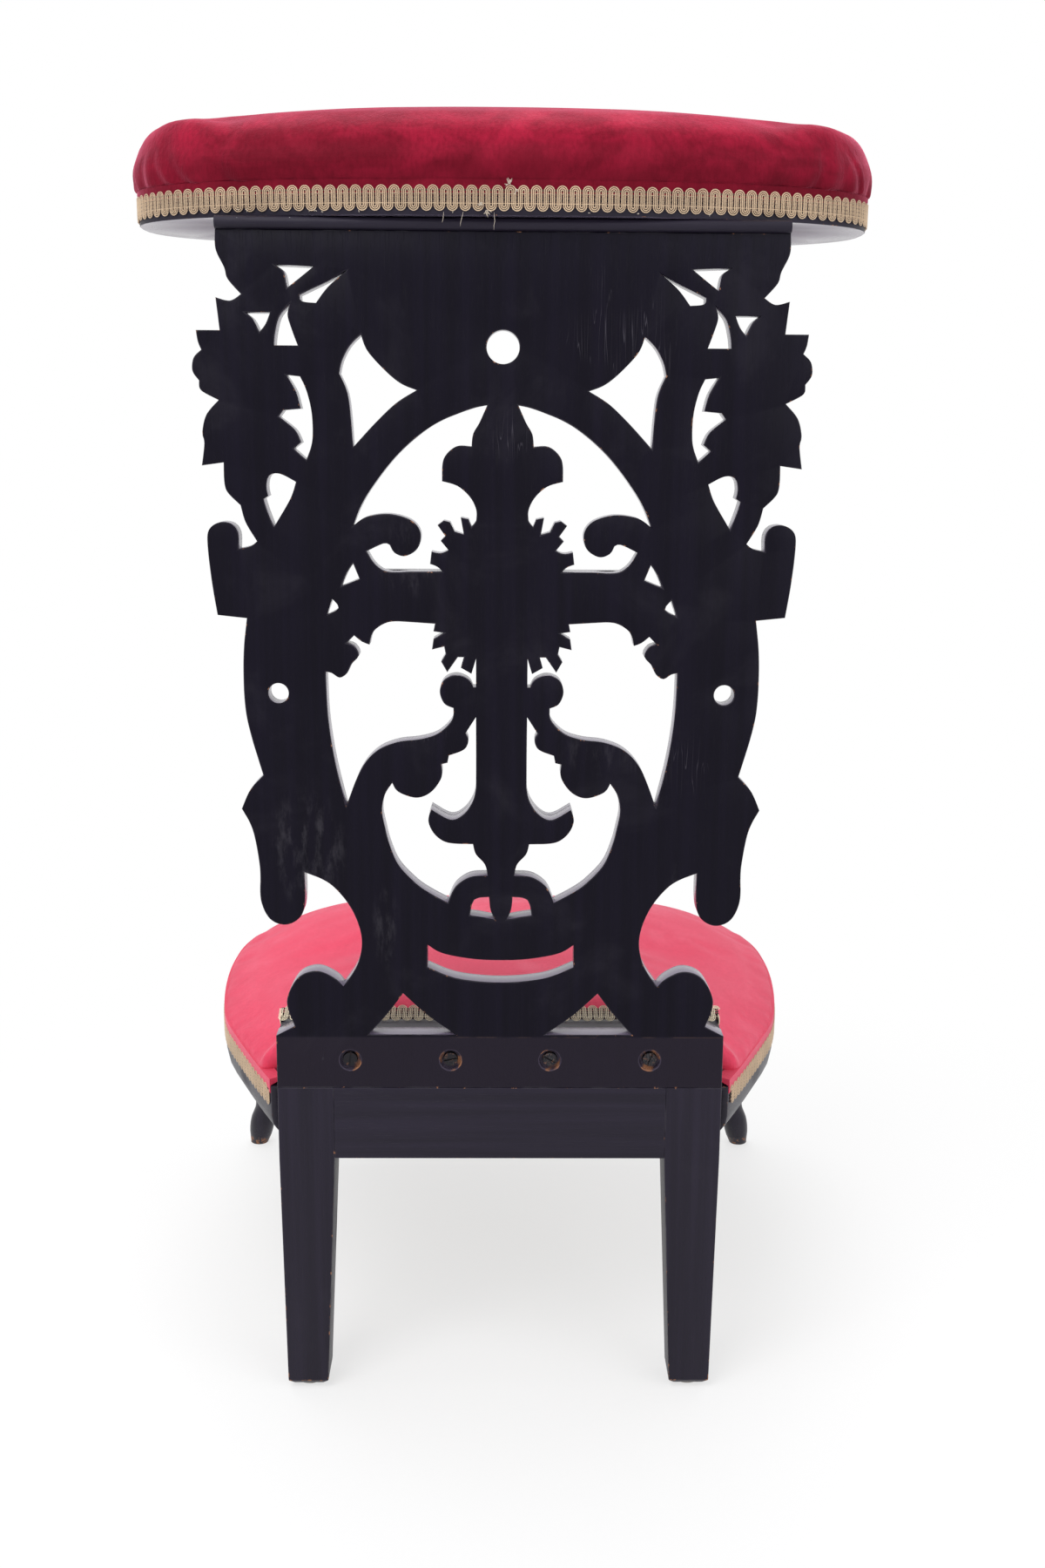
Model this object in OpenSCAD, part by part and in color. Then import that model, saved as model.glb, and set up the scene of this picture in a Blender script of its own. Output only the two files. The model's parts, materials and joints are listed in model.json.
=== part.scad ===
// Prie-dieu chair: a pierced fretwork back with a cross, a padded armrest across its top,
// and a low stuffed seat that is also the kneeler.
// The chair stands on z = 0, the kneeler faces the armrest along +Y, and x = 0 is its middle.

/* [Fret back] */
// Half of the fret panel's width at its top
fret_half_w = 180; // [165:1:195]
// Height of the fret panel
fret_h = 570; // [500:1:640]
// Thickness of the fret panel
fret_t = 16; // [12:0.5:20]
// Radius of the round hole above the cross
top_hole_r = 10.5; // [7:0.5:12]
// Radius of the small hole in each side of the oval
side_hole_r = 6.7; // [4:0.1:8]
// Thickness of the cross laid on the front of the panel
cross_t = 9; // [4:0.5:14]

/* [Rear frame] */
// Height of the rear legs up to the fret panel
leg_h = 233; // [200:1:260]
// Width of a rear leg at its top
leg_w = 39; // [32:1:44]
// Depth of a rear leg at its top
leg_d = 38; // [34:1:46]
// Width of a rear leg at the floor
leg_foot_w = 29; // [22:1:32]
// Depth of a rear leg at the floor
leg_foot_d = 30; // [24:1:34]
// How far a rear leg's outer side leans in by the floor
leg_lean = 2.5; // [0:0.5:6]
// Bevel round a rear leg's bottom end
foot_bevel = 4; // [2:0.5:6]
// Height of the rear rail
rear_rail_h = 53; // [46:1:60]
// Thickness of the rear rail
rear_rail_t = 25; // [20:1:30]
// Length of a tenon
tenon_l = 20; // [14:1:24]
// Thickness of a tenon
tenon_t = 9; // [6:0.5:11]
// Height of a tenon
tenon_h = 30; // [22:1:32]
// Height of the batten that the fret panel is screwed to
batten_h = 37; // [30:1:42]
// Depth of that batten
batten_d = 35; // [31:1:42]
// Radius of a rear leg's glide
glide_r = 9.5; // [7:0.5:12]
// Thickness of a glide
glide_t = 2.5; // [1.5:0.5:4]
// Radius of a glide's pin
pin_r = 1.5; // [1:0.1:2]
// Length of a glide's pin
pin_l = 12; // [8:1:16]

/* [Seat] */
// Half of the seat's greatest width
seat_half_w = 232; // [215:1:250]
// Depth of the seat in front of the rear legs
seat_d = 417; // [390:1:445]
// Height of the moulded seat rails
rail_h = 38; // [32:1:44]
// Thickness of the moulded seat rails
rail_t = 30; // [26:1:34]
// Radius of the rails' rounded lower edge
rail_round = 15; // [8:1:18]
// Height of the cushion's crown above the rails
seat_crown = 56; // [50:1:90]
// Thickness of a webbing strap
web_t = 1.5; // [1:0.1:2]
// Width of a webbing strap
web_w = 50; // [40:1:60]
// Length of the doubled end of a strap
web_fold = 12; // [8:1:16]
// Thickness of the hessian
hessian_t = 1; // [0.8:0.1:1.5]

/* [Front legs] */
// Radius of a turned front leg at its collar
front_leg_r = 16.5; // [14:0.5:19]
// How far a front leg's foot stands outwards of its top
splay_out = 34; // [15:1:45]
// How far a front leg's foot stands forwards of its top
splay_front = 36; // [15:1:45]
// Radius of a front leg's spigot
spigot_r = 7; // [6:0.5:9]
// Length of that spigot
spigot_l = 20; // [16:1:24]
// Wood left between a spigot and the inside of the front rail
spigot_wood = 6.5; // [5:0.5:9]

/* [Armrest] */
// Half of the armrest board's length
arm_half_w = 242; // [210:1:255]
// Half of the armrest board's depth
arm_half_d = 96; // [80:1:105]
// Thickness of the armrest board
arm_t = 20; // [16:1:24]
// How far the board reaches out behind the fret panel
arm_overhang = 10; // [6:1:30]
// Height of the armrest cushion
arm_crown = 55; // [40:1:70]
// How far the armrest cushion swells out past its board
arm_swell = 4; // [3:0.5:12]
// Thickness of the cleat between the fret panel and the board
cleat_t = 8; // [6:0.5:12]
// Depth of the cleat
cleat_d = 62; // [45:1:80]
// How far the cleat stands out behind the fret panel
cleat_lip = 4; // [2:0.5:8]

/* [Trim and fixings] */
// Width of the gimp braid
gimp_w = 15.5; // [12:0.5:17]
// Thickness of the gimp braid
gimp_t = 2; // [1.5:0.1:2.5]
// Radius of a screw's head
head_r = 5.2; // [4:0.1:6]
// Thickness of a screw's head
head_t = 2.4; // [1.8:0.1:3]
// Radius of a screw's shank
shank_r = 2.4; // [1.8:0.1:2.8]
// Width and depth of a screw's slot
slot_w = 1.2; // [0.8:0.1:1.5]
// Length of a screw in the fret panel
back_screw_l = 38; // [30:1:42]
// Length of a screw in the cleat
cleat_screw_l = 20; // [14:1:22]
// Radius of the sunk hole round a back screw's head
sunk_r = 7.3; // [6:0.1:9]
// Depth of the sunk hole round a back screw's head
sunk_depth = 4; // [3:0.5:6]
// Radius of a dowel
dowel_r = 4; // [3:0.5:5]
// Length of a dowel
dowel_l = 36; // [28:1:40]
// Length of a side rail's dowel that sits in the rear leg
leg_bite = 23; // [18:1:28]
// Clearance round screws, dowels, spigots and tenons
fit_gap = 0.15; // [0.1:0.05:0.3]
// Clearance between a stuffed part or braid and the wood
soft_gap = 0.3; // [0.2:0.05:0.5]
// How far a cut runs past a face
overrun = 1; // [0.5:0.5:2]

/* [Hidden] */

// Sides of round solids, large and small
round_fn = 48;
small_fn = 24;
// Marks a point of an outline as a sharp corner
sharp = 1;

// Depths are measured forwards from the fret panel's rear face, then the chair is centred
front_reach = leg_d + seat_d + soft_gap + gimp_t;
back_reach = arm_overhang + arm_swell;
back_y = (front_reach - back_reach) / 2;

// Heights of the main levels
cleat_z = leg_h + fret_h;
board_z = cleat_z + cleat_t;
board_top = board_z + arm_t;
batten_top = leg_h + batten_h;
rail_z = leg_h - rear_rail_h;
rail_top = rail_z + rail_h;
strap_z = rail_top + web_t;
hessian_z = strap_z + web_t;
cushion_z = hessian_z + hessian_t + soft_gap;

// Sideways places of the rear frame
base_half_w_share = 155 / 180;
base_half_w = fret_half_w * base_half_w_share;
leg_inner_x = base_half_w - leg_w;
foot_outer_x = base_half_w - leg_lean;

module place() { translate([0, back_y, 0]) children(); }
module both() { children(); mirror([1, 0, 0]) children(); }

// Smooth curves

function at(pts, i) = pts[(i + len(pts)) % len(pts)];
function flat(p) = [p[0], p[1]];
function is_sharp(p) = len(p) > 2;
function blend(a, b, c, d, t) = 0.5 * (2 * b + (c - a) * t + (2 * a - 5 * b + 4 * c - d) * t * t
    + (3 * b - a - 3 * c + d) * t * t * t);
function span(a, b, c, d, steps) = [for (k = [0:steps - 1]) blend(a, b, c, d, k / steps)];
// One stretch of a closed outline, straight between two sharp points
function stretch(pts, i, steps) = let (b = at(pts, i), c = at(pts, i + 1))
    is_sharp(b) && is_sharp(c) ? [flat(b)] :
    span(flat(is_sharp(b) ? b : at(pts, i - 1)), flat(b), flat(c),
        flat(is_sharp(c) ? c : at(pts, i + 2)), steps);
function smooth(pts, steps = 3) = [for (i = [0:len(pts) - 1]) each stretch(pts, i, steps)];
// An open curve that ends on its first and last points
function curve(pts, steps) = let (n = len(pts)) concat([for (i = [0:n - 2])
    each span(pts[max(i - 1, 0)], pts[i], pts[i + 1], pts[min(i + 2, n - 1)], steps)],
    [pts[n - 1]]);
function flip(p) = is_sharp(p) ? [-p[0], p[1], p[2]] : [-p[0], p[1]];
function backwards(pts) = [for (i = [len(pts) - 1:-1:0]) pts[i]];
function mirrored(half) = concat(half, [for (p = backwards(half)) flip(p)]);

// Fret pattern, drawn on a grid of 180 squares across its half and 570 squares up

grid_share = [1 / 180, 1 / 570];
function grid_x(x) = x * grid_share[0] * fret_half_w;
function grid_y(y) = y * grid_share[1] * fret_h;
function on_grid(pts) = [for (p = pts) [grid_x(p[0]), grid_y(p[1])]];
module shape(pts) { polygon(on_grid(smooth(pts))); }
module both_flat() { children(); mirror([1, 0]) children(); }

// Outer edge of the right half, from the top corner down to the base
edge_shares = [
    [180, 570, sharp], [180, 558], [175, 547], [173, 540], [165, 531, sharp],
    [172, 527], [181, 529, sharp], [180, 519], [179, 509, sharp], [194, 509, sharp],
    [193, 502], [191, 497, sharp], [196, 492], [197, 484], [193, 478, sharp],
    [192, 472], [181, 466, sharp], [189, 457], [192, 446], [191, 439], [193, 425, sharp],
    [179, 427, sharp], [179, 415], [177, 408], [169, 400, sharp], [166, 389], [159, 377, sharp],
    [163, 374], [171, 372, sharp], [171, 382], [175, 388], [183, 389], [190, 384], [191, 373],
    [189, 350], [186, 329, sharp], [167, 327, sharp], [170, 300], [169, 262], [159, 222, sharp],
    [168, 212], [174, 199, sharp], [167, 184], [163, 158], [163, 136], [157, 122], [146, 118],
    [136, 124], [133, 136], [133, 155, sharp], [116, 147], [102, 130], [95, 109], [98, 90],
    [108, 74, sharp], [114, 80], [126, 85], [139, 80], [147, 63], [142, 45, sharp],
    [155, 38, sharp], [155, 0, sharp]];

// The cross, right half, up its stem: the side of its foot and the side of its finial
foot_shares = [[9, 153, sharp], [11, 161], [17, 168], [19, 175, sharp], [36, 176], [45, 182],
    [49, 191], [47, 199, sharp], [34, 192], [25, 196], [19, 205], [17, 214, sharp]];
finial_shares = [[17, 391, sharp], [17, 398], [21, 406], [29, 413], [39, 416, sharp], [38, 430],
    [30, 438], [20, 438, sharp], [19, 446], [15, 453], [10, 464, sharp]];

// Rays between the stem and the beam, below and above the beam
low_ray_shares = [[17, 301, sharp], [20, 291, sharp], [27, 295, sharp], [25, 302, sharp],
    [29, 302, sharp], [36, 292, sharp], [40, 299, sharp], [37, 304, sharp], [38, 309, sharp],
    [46, 307, sharp], [45, 314, sharp], [38, 318, sharp], [45, 319, sharp], [44, 324, sharp]];
high_ray_shares = [[39, 358, sharp], [42, 361, sharp], [47, 363, sharp], [46, 371, sharp],
    [40, 370, sharp], [35, 372, sharp], [40, 378, sharp], [37, 381, sharp], [42, 388, sharp],
    [38, 391, sharp], [34, 390, sharp], [31, 384, sharp], [25, 382, sharp], [27, 393, sharp],
    [22, 392, sharp], [20, 387, sharp]];

// Window over the beam: the oval's edge, then the volute's back, crook and underside
crown_shares = [[22, 461], [45, 451], [68, 432], [88, 406], [97, 387, sharp], [88, 393],
    [73, 395], [59, 391], [53, 383], [55, 373], [63, 368], [70, 370], [73, 375, sharp], [77, 376],
    [88, 371, sharp], [83, 363], [75, 358], [60, 358, sharp]];
// Window under the beam: the beam's bracket, the oval's edge, the scroll's back and its ball
flank_shares = [[60, 325, sharp], [74, 325], [84, 319], [87, 310, sharp], [92, 312],
    [97, 316, sharp], [102, 311, sharp], [97, 309], [94, 303], [99, 297], [102, 291], [107, 288],
    [112, 291], [116, 292, sharp], [115, 262], [111, 232], [104, 201, sharp], [94, 226],
    [83, 239], [69, 245], [54, 247], [42, 251], [33, 260], [32, 268, sharp], [38, 271], [41, 279],
    [38, 287], [30, 290], [22, 287], [19, 282, sharp], [17, 282, sharp]];
// Window under the scroll: the scroll's lobes, the bowl's edge and the arch under the foot
bowl_shares = [[17, 262, sharp], [24, 251, sharp], [22, 246], [25, 240], [35, 236, sharp],
    [36, 231, sharp], [40, 230, sharp], [40, 221], [47, 211], [57, 207], [69, 211],
    [73, 217, sharp], [78, 209], [80, 198], [78, 186], [75, 174], [69, 160], [57, 147], [47, 140],
    [36, 134, sharp], [31, 145], [21, 152]];

// Openings outside the oval
brow_shares = [[144, 549, sharp], [119, 548, sharp], [128, 541], [136, 535, sharp], [138, 545]];
sliver_shares = [[98, 546, sharp], [113, 538], [128, 531, sharp], [127, 527], [118, 526, sharp],
    [110, 536]];
stalk_shares = [[163, 520, sharp], [147, 520, sharp], [150, 513], [154, 508, sharp], [158, 516]];
bud_shares = [[134, 526, sharp], [136, 519], [134, 511], [130, 500, sharp], [145, 500, sharp],
    [144, 508], [141, 518]];
kite_shares = [[90, 507, sharp], [86, 497], [75, 485], [65, 477], [55, 473, sharp],
    [68, 465], [82, 452], [96, 437, sharp], [97, 455], [99, 471], [104, 483, sharp],
    [102, 491], [97, 500]];
sickle_shares = [[138, 482, sharp], [129, 481, sharp], [125, 472], [122, 458], [122, 441],
    [126, 429, sharp], [134, 436, sharp], [129, 440, sharp], [133, 448], [143, 456, sharp],
    [140, 460, sharp], [129, 461, sharp], [132, 472]];
spade_shares = [[150, 419], [143, 420], [133, 415, sharp], [137, 404], [148, 386, sharp],
    [152, 397], [154, 404, sharp], [151, 406, sharp], [152, 412]];
smile_shares = [[50, 104, sharp], [40, 98], [20, 94], [0, 93], [-20, 94], [-40, 98],
    [-50, 104, sharp], [-50, 88, sharp], [-30, 80], [0, 77], [30, 80], [50, 88, sharp]];
gable_shares = [[67, 69, sharp], [78, 54], [91, 39, sharp], [31, 39, sharp], [50, 53]];
eye_shares = [[21, 125, sharp], [18, 136], [8, 138, sharp], [7, 129], [4, 122, sharp],
    [14, 124]];
chink_shares = [[97, 363, sharp], [93, 353, sharp], [105, 348, sharp], [101, 357]];
pinhole_shares = [[111, 340, sharp], [107, 334], [115, 329, sharp]];

module fret_shape() {
    difference() {
        shape(mirrored(edge_shares));
        shape(smile_shares);
        both_flat() {
            shape(concat(crown_shares, high_ray_shares, finial_shares));
            shape(concat(low_ray_shares, flank_shares));
            shape(concat(bowl_shares, foot_shares));
            shape(brow_shares);
            shape(sliver_shares);
            shape(stalk_shares);
            shape(bud_shares);
            shape(kite_shares);
            shape(sickle_shares);
            shape(spade_shares);
            shape(gable_shares);
            shape(eye_shares);
            shape(chink_shares);
            shape(pinhole_shares);
        }
    }
}

// The plain cross without rays, for the front of the panel
beam_end_shares = [[17, 325, sharp], [90, 325, sharp], [90, 358, sharp], [17, 358, sharp]];
module cross_shape() {
    shape(mirrored(concat([[9, 138, sharp]], foot_shares, beam_end_shares, finial_shares,
        [[9, 476, sharp]])));
}

// Places of holes and fixings

top_hole_share = 500 / 570;
side_hole_share = [147.5 / 180, 277.5 / 570];
screw_x_shares = [-104 / 155, -34.5 / 155, 34.5 / 155, 104 / 155];
slot_turns = [80, 35, 10, 90];
screw_z = leg_h + batten_h * 0.55;
leg_dowel_x = base_half_w - leg_w * 0.28;
batten_dowel_y = -fret_t - batten_d * 0.31;
top_dowel_x = fret_half_w * 0.67;
rail_dowel_x = base_half_w - dowel_r * 1.9;
function seam_dowel_x() = rim[seam][0] - rail_t / 2;
rail_dowel_z_shares = [0.35, 0.72];
function rail_dowel_z(k) = rail_z + rail_h * rail_dowel_z_shares[k];
cleat_screw_x_shares = [-0.78, -0.27, 0.27, 0.78];
cleat_screw_y = -cleat_d * 0.7;

// A straight hole or dowel along Y, from y towards the front
module along_y(x, y, z, r, l, sides) {
    translate([x, y, z]) rotate([90, 0, 0]) cylinder(r = r, h = l, $fn = sides);
}
module dowel_hole_up(x, y, z) {
    translate([x, y, z - dowel_l / 2 - fit_gap])
        cylinder(r = dowel_r + fit_gap, h = dowel_l + 2 * fit_gap, $fn = small_fn);
}
module dowel_up(x, y, z) {
    translate([x, y, z - dowel_l / 2]) cylinder(r = dowel_r, h = dowel_l, $fn = small_fn);
}
module leg_dowel_holes() {
    both() dowel_hole_up(leg_dowel_x, -fret_t / 2, leg_h);
    both() dowel_hole_up(leg_dowel_x, batten_dowel_y, leg_h);
}
module top_dowel_holes() { both() dowel_hole_up(top_dowel_x, -fret_t / 2, cleat_z + fit_gap); }
module rail_dowel_holes() {
    for (k = [0, 1])
        along_y(rail_dowel_x, -leg_d + leg_bite + fit_gap, rail_dowel_z(k), dowel_r + fit_gap,
            dowel_l + 2 * fit_gap, small_fn);
}
module seam_dowel_holes() {
    for (k = [0, 1])
        along_y(seam_dowel_x(), seam_y + dowel_l / 2 + fit_gap, rail_dowel_z(k),
            dowel_r + fit_gap, dowel_l + 2 * fit_gap, small_fn);
}

// Fret panel and the cross on its front

module fret_back() {
    color("#1c1a20")
    place() difference() {
        translate([0, 0, leg_h]) rotate([90, 0, 0]) linear_extrude(height = fret_t) fret_shape();
        along_y(0, overrun, leg_h + fret_h * top_hole_share, top_hole_r, fret_t + 2 * overrun,
            round_fn);
        both() along_y(fret_half_w * side_hole_share[0], overrun,
            leg_h + fret_h * side_hole_share[1], side_hole_r, fret_t + 2 * overrun, round_fn);
        for (s = screw_x_shares) {
            along_y(base_half_w * s, overrun, screw_z, sunk_r, sunk_depth + overrun, round_fn);
            along_y(base_half_w * s, 0, screw_z, shank_r + fit_gap, fret_t + overrun, small_fn);
        }
        leg_dowel_holes();
        top_dowel_holes();
    }
}

module front_cross() {
    color("#1c1a20")
    place() translate([0, -fret_t, leg_h]) rotate([90, 0, 0])
        linear_extrude(height = cross_t) cross_shape();
}

// Rear legs, rail and batten

// Front view of the leg on the +X side
leg_face = [[leg_inner_x, leg_h], [leg_inner_x, rail_z],
    [foot_outer_x - leg_foot_w, glide_t + foot_bevel],
    [foot_outer_x - leg_foot_w + foot_bevel, glide_t],
    [foot_outer_x - foot_bevel, glide_t], [foot_outer_x, glide_t + foot_bevel],
    [base_half_w, rail_z], [base_half_w, leg_h]];
// Side view of a leg
leg_side = [[0, leg_h], [-leg_d, leg_h], [-leg_d, rail_z], [-leg_foot_d, glide_t + foot_bevel],
    [-leg_foot_d + foot_bevel, glide_t], [-foot_bevel, glide_t], [0, glide_t + foot_bevel]];
glide_x = foot_outer_x - leg_foot_w / 2;
glide_y = -leg_foot_d / 2;
tenon_z = (rail_z + leg_h) / 2;

module rear_leg() {
    difference() {
        intersection() {
            translate([0, overrun, 0]) rotate([90, 0, 0])
                linear_extrude(height = leg_d + 2 * overrun) polygon(leg_face);
            translate([leg_inner_x - overrun, 0, 0]) rotate([90, 0, 90])
                linear_extrude(height = leg_w + 2 * overrun) polygon(leg_side);
        }
        translate([leg_inner_x - overrun, -(rear_rail_t + tenon_t) / 2 - fit_gap,
            tenon_z - tenon_h / 2 - fit_gap])
            cube([tenon_l + overrun + fit_gap, tenon_t + 2 * fit_gap, tenon_h + 2 * fit_gap]);
        leg_dowel_holes();
        rail_dowel_holes();
        translate([glide_x, glide_y, 0])
            cylinder(r = pin_r + fit_gap, h = glide_t + pin_l + fit_gap, $fn = small_fn);
    }
}
module rear_leg_left() { color("#232028") place() mirror([1, 0, 0]) rear_leg(); }
module rear_leg_right() { color("#232028") place() rear_leg(); }

module rear_rail() {
    color("#232028")
    place() {
        translate([-leg_inner_x, -rear_rail_t, rail_z])
            cube([2 * leg_inner_x, rear_rail_t, rear_rail_h]);
        translate([-leg_inner_x - tenon_l, -(rear_rail_t + tenon_t) / 2, tenon_z - tenon_h / 2])
            cube([2 * (leg_inner_x + tenon_l), tenon_t, tenon_h]);
    }
}

module rear_batten() {
    color("#232028")
    place() difference() {
        translate([-base_half_w, -fret_t - batten_d, leg_h])
            cube([2 * base_half_w, batten_d, batten_h]);
        for (s = screw_x_shares)
            along_y(base_half_w * s, 0, screw_z, shank_r + fit_gap,
                sunk_depth + back_screw_l + fit_gap, small_fn);
        leg_dowel_holes();
    }
}

module leg_glides() {
    color("#8a8a88")
    place() both() translate([glide_x, glide_y, 0]) {
        cylinder(r = glide_r, h = glide_t, $fn = round_fn);
        cylinder(r = pin_r, h = glide_t + pin_l, $fn = small_fn);
    }
}

module dowels() {
    color("#c9a56c")
    place() both() {
        dowel_up(leg_dowel_x, -fret_t / 2, leg_h);
        dowel_up(leg_dowel_x, batten_dowel_y, leg_h);
        dowel_up(top_dowel_x, -fret_t / 2, cleat_z + fit_gap);
        for (k = [0, 1]) {
            along_y(rail_dowel_x, -leg_d + leg_bite, rail_dowel_z(k), dowel_r, dowel_l, small_fn);
            along_y(seam_dowel_x(), seam_y + dowel_l / 2, rail_dowel_z(k), dowel_r, dowel_l,
                small_fn);
        }
    }
}

// A slotted screw that points down from its head's underside at the origin
module screw(l) {
    difference() {
        rotate_extrude($fn = small_fn)
            polygon([[0, head_t], [head_r - slot_w, head_t], [head_r, head_t - slot_w / 2],
                [head_r, 0], [shank_r, 0], [shank_r, shank_r * 2 - l], [0, -l]]);
        translate([-head_r - overrun, -slot_w / 2, head_t - slot_w])
            cube([2 * (head_r + overrun), slot_w, slot_w + overrun]);
    }
}
module back_screws() {
    color("#3a3a3e")
    place() for (k = [0:len(screw_x_shares) - 1])
        translate([base_half_w * screw_x_shares[k], -sunk_depth, screw_z])
            rotate([-90, 0, 0]) rotate([0, 0, slot_turns[k]]) screw(back_screw_l);
}
module cleat_screws() {
    color("#3a3a3e")
    place() for (k = [0:len(cleat_screw_x_shares) - 1])
        translate([fret_half_w * cleat_screw_x_shares[k], cleat_screw_y, cleat_z + head_t])
            rotate([180, 0, 0]) rotate([0, 0, slot_turns[k]]) screw(cleat_screw_l);
}

// Plan of the seat, right half, on a grid of 232 squares out and 417 squares forwards

plan_share = [1 / 232, 1 / 417];
seam_row = 8;
rim_shares = [[165, 0], [178, 28], [197, 73], [214, 117], [223, 157], [229, 202], [232, 244],
    [232, 280], [230, 310], [224, 338], [213, 362], [196, 381], [172, 394], [140, 403],
    [100, 410], [50, 415], [0, 417]];
function on_plan(s) = [s[0] * plan_share[0] * seat_half_w, -leg_d - s[1] * plan_share[1] * seat_d];
rim_steps = 2;
rim = curve([for (s = rim_shares) on_plan(s)], rim_steps);
seam = seam_row * rim_steps;
seam_y = rim[seam][1];
corner_share = [135, 300];
corner_centre = on_plan(corner_share);
// Which way is outwards at a point of the rim
function outwards(p) = p[1] >= corner_centre[1] ? [1, 0] :
    p[0] <= corner_centre[0] ? [0, -1] :
    let (v = p - corner_centre) v / norm(v);
function lined(path, side) = [for (p = path) [p, side * outwards(p)]];
function flipped(rows) = [for (r = backwards(rows)) [flip(r[0]), [-r[1][0], r[1][1]]]];
side_rows = [for (i = [0:seam]) [rim[i], outwards(rim[i])]];
front_half_rows = [for (i = [seam:len(rim) - 2]) [rim[i], outwards(rim[i])]];
middle_row = [[rim[len(rim) - 1], [0, -1]]];
front_rows = concat(front_half_rows, middle_row, flipped(front_half_rows));
whole_rows = concat([for (i = [0:len(rim) - 2]) [rim[i], outwards(rim[i])]], middle_row,
    flipped([for (i = [0:len(rim) - 2]) [rim[i], outwards(rim[i])]]));

// A bar with a constant section that follows the rows of a path
module bar(rows, section) {
    n = len(rows);
    m = len(section);
    points = [for (r = rows, q = section)
        [r[0][0] + r[1][0] * q[0], r[0][1] + r[1][1] * q[0], q[1]]];
    walls = [for (i = [0:n - 2], k = [0:m - 1])
        let (a = i * m + k, b = i * m + (k + 1) % m) each [[a, b, b + m], [a, b + m, a + m]]];
    ends = [[for (k = [m - 1:-1:0]) k], [for (k = [0:m - 1]) (n - 1) * m + k]];
    polyhedron(points = points, faces = concat(walls, ends), convexity = 6);
}
rail_section = concat([[-rail_t, rail_top], [0, rail_top]],
    [for (a = [0:22.5:90]) [rail_round * (cos(a) - 1), rail_z + rail_round * (1 - sin(a))]],
    [[-rail_t, rail_z]]);

module seat_rail() {
    difference() {
        bar(side_rows, rail_section);
        rail_dowel_holes();
        seam_dowel_holes();
    }
}
module seat_rail_left() { color("#232028") place() mirror([1, 0, 0]) seat_rail(); }
module seat_rail_right() { color("#232028") place() seat_rail(); }

module front_rail() {
    color("#232028")
    place() difference() {
        bar(front_rows, rail_section);
        both() seam_dowel_holes();
        both() on_leg() translate([0, 0, -overrun * 4])
            cylinder(r = spigot_r + fit_gap, h = spigot_l + overrun * 4 + fit_gap, $fn = round_fn);
    }
}

// Turned front legs, set in the frame of a leaning axis

leg_row = seam + 4;
leg_inset = rail_t - spigot_r - spigot_wood;
leg_top = rim[leg_row] - leg_inset * outwards(rim[leg_row]);
leg_run = sqrt(rail_z * rail_z + splay_out * splay_out + splay_front * splay_front);
module on_leg() {
    translate([leg_top[0], leg_top[1], rail_z])
        rotate([-asin(splay_front / leg_run), -atan(splay_out / rail_z), 0]) children();
}
// Radius in shares of the collar's, and drop in shares of the leg's length
turned_shares = [[0.94, -0.03], [0.94, 0.03], [1, 0.045], [1, 0.065], [0.9, 0.08], [0.86, 0.1],
    [0.89, 0.3], [0.84, 0.5], [0.68, 0.68], [0.54, 0.77], [0.58, 0.81], [0.67, 0.85],
    [0.69, 0.89], [0.64, 0.94], [0.49, 1], [0.49, 1.03]];
module front_leg() {
    difference() {
        on_leg() rotate_extrude($fn = round_fn)
            polygon(concat([[0, leg_run * -turned_shares[0][1]]],
                curve([for (s = turned_shares) [front_leg_r * s[0], -leg_run * s[1]]], 2),
                [[0, -leg_run * turned_shares[15][1]]]));
        translate([0, -leg_d - seat_d - 2 * front_leg_r, rail_z])
            cube([seat_half_w + 2 * front_leg_r, seat_d, rail_h]);
        translate([0, -leg_d - seat_d - 2 * front_leg_r, -rail_h])
            cube([seat_half_w + 2 * front_leg_r, seat_d, rail_h]);
    }
    on_leg() translate([0, 0, -front_leg_r])
        cylinder(r = spigot_r, h = front_leg_r + spigot_l, $fn = round_fn);
}
module front_leg_left() { color("#232028") place() mirror([1, 0, 0]) front_leg(); }
module front_leg_right() { color("#232028") place() front_leg(); }

// Webbing and hessian under the cushion

strap_inset = rail_t * 0.6;
strap_x_shares = [-0.37, 0, 0.37];
strap_reach_shares = [0.97, 0.985, 0.97];
module webbing_long() {
    color("#b79a6b")
    place() for (k = [0:len(strap_x_shares) - 1]) {
        x = seat_half_w * strap_x_shares[k] - web_w / 2;
        back = -fret_t - batten_d;
        front = -leg_d - seat_d * strap_reach_shares[k] + strap_inset / 2;
        translate([x, front, strap_z]) cube([web_w, back - front, web_t]);
        translate([x, front, rail_top]) cube([web_w, web_fold, 2 * web_t]);
        translate([x, back - web_t, strap_z]) cube([web_w, web_t, batten_h * 0.8]);
    }
}
cross_strap_shares = [[186, 92], [206, 175], [213, 255], [205, 328]];
module webbing_cross() {
    color("#b79a6b")
    place() for (s = cross_strap_shares) {
        p = on_plan(s);
        reach = p[0] - strap_inset / 2;
        translate([-reach, p[1] - web_w / 2, rail_top]) cube([2 * reach, web_w, web_t]);
        both() translate([reach - web_fold, p[1] - web_w / 2, rail_top])
            cube([web_fold, web_w, 2 * web_t]);
    }
}

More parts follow.
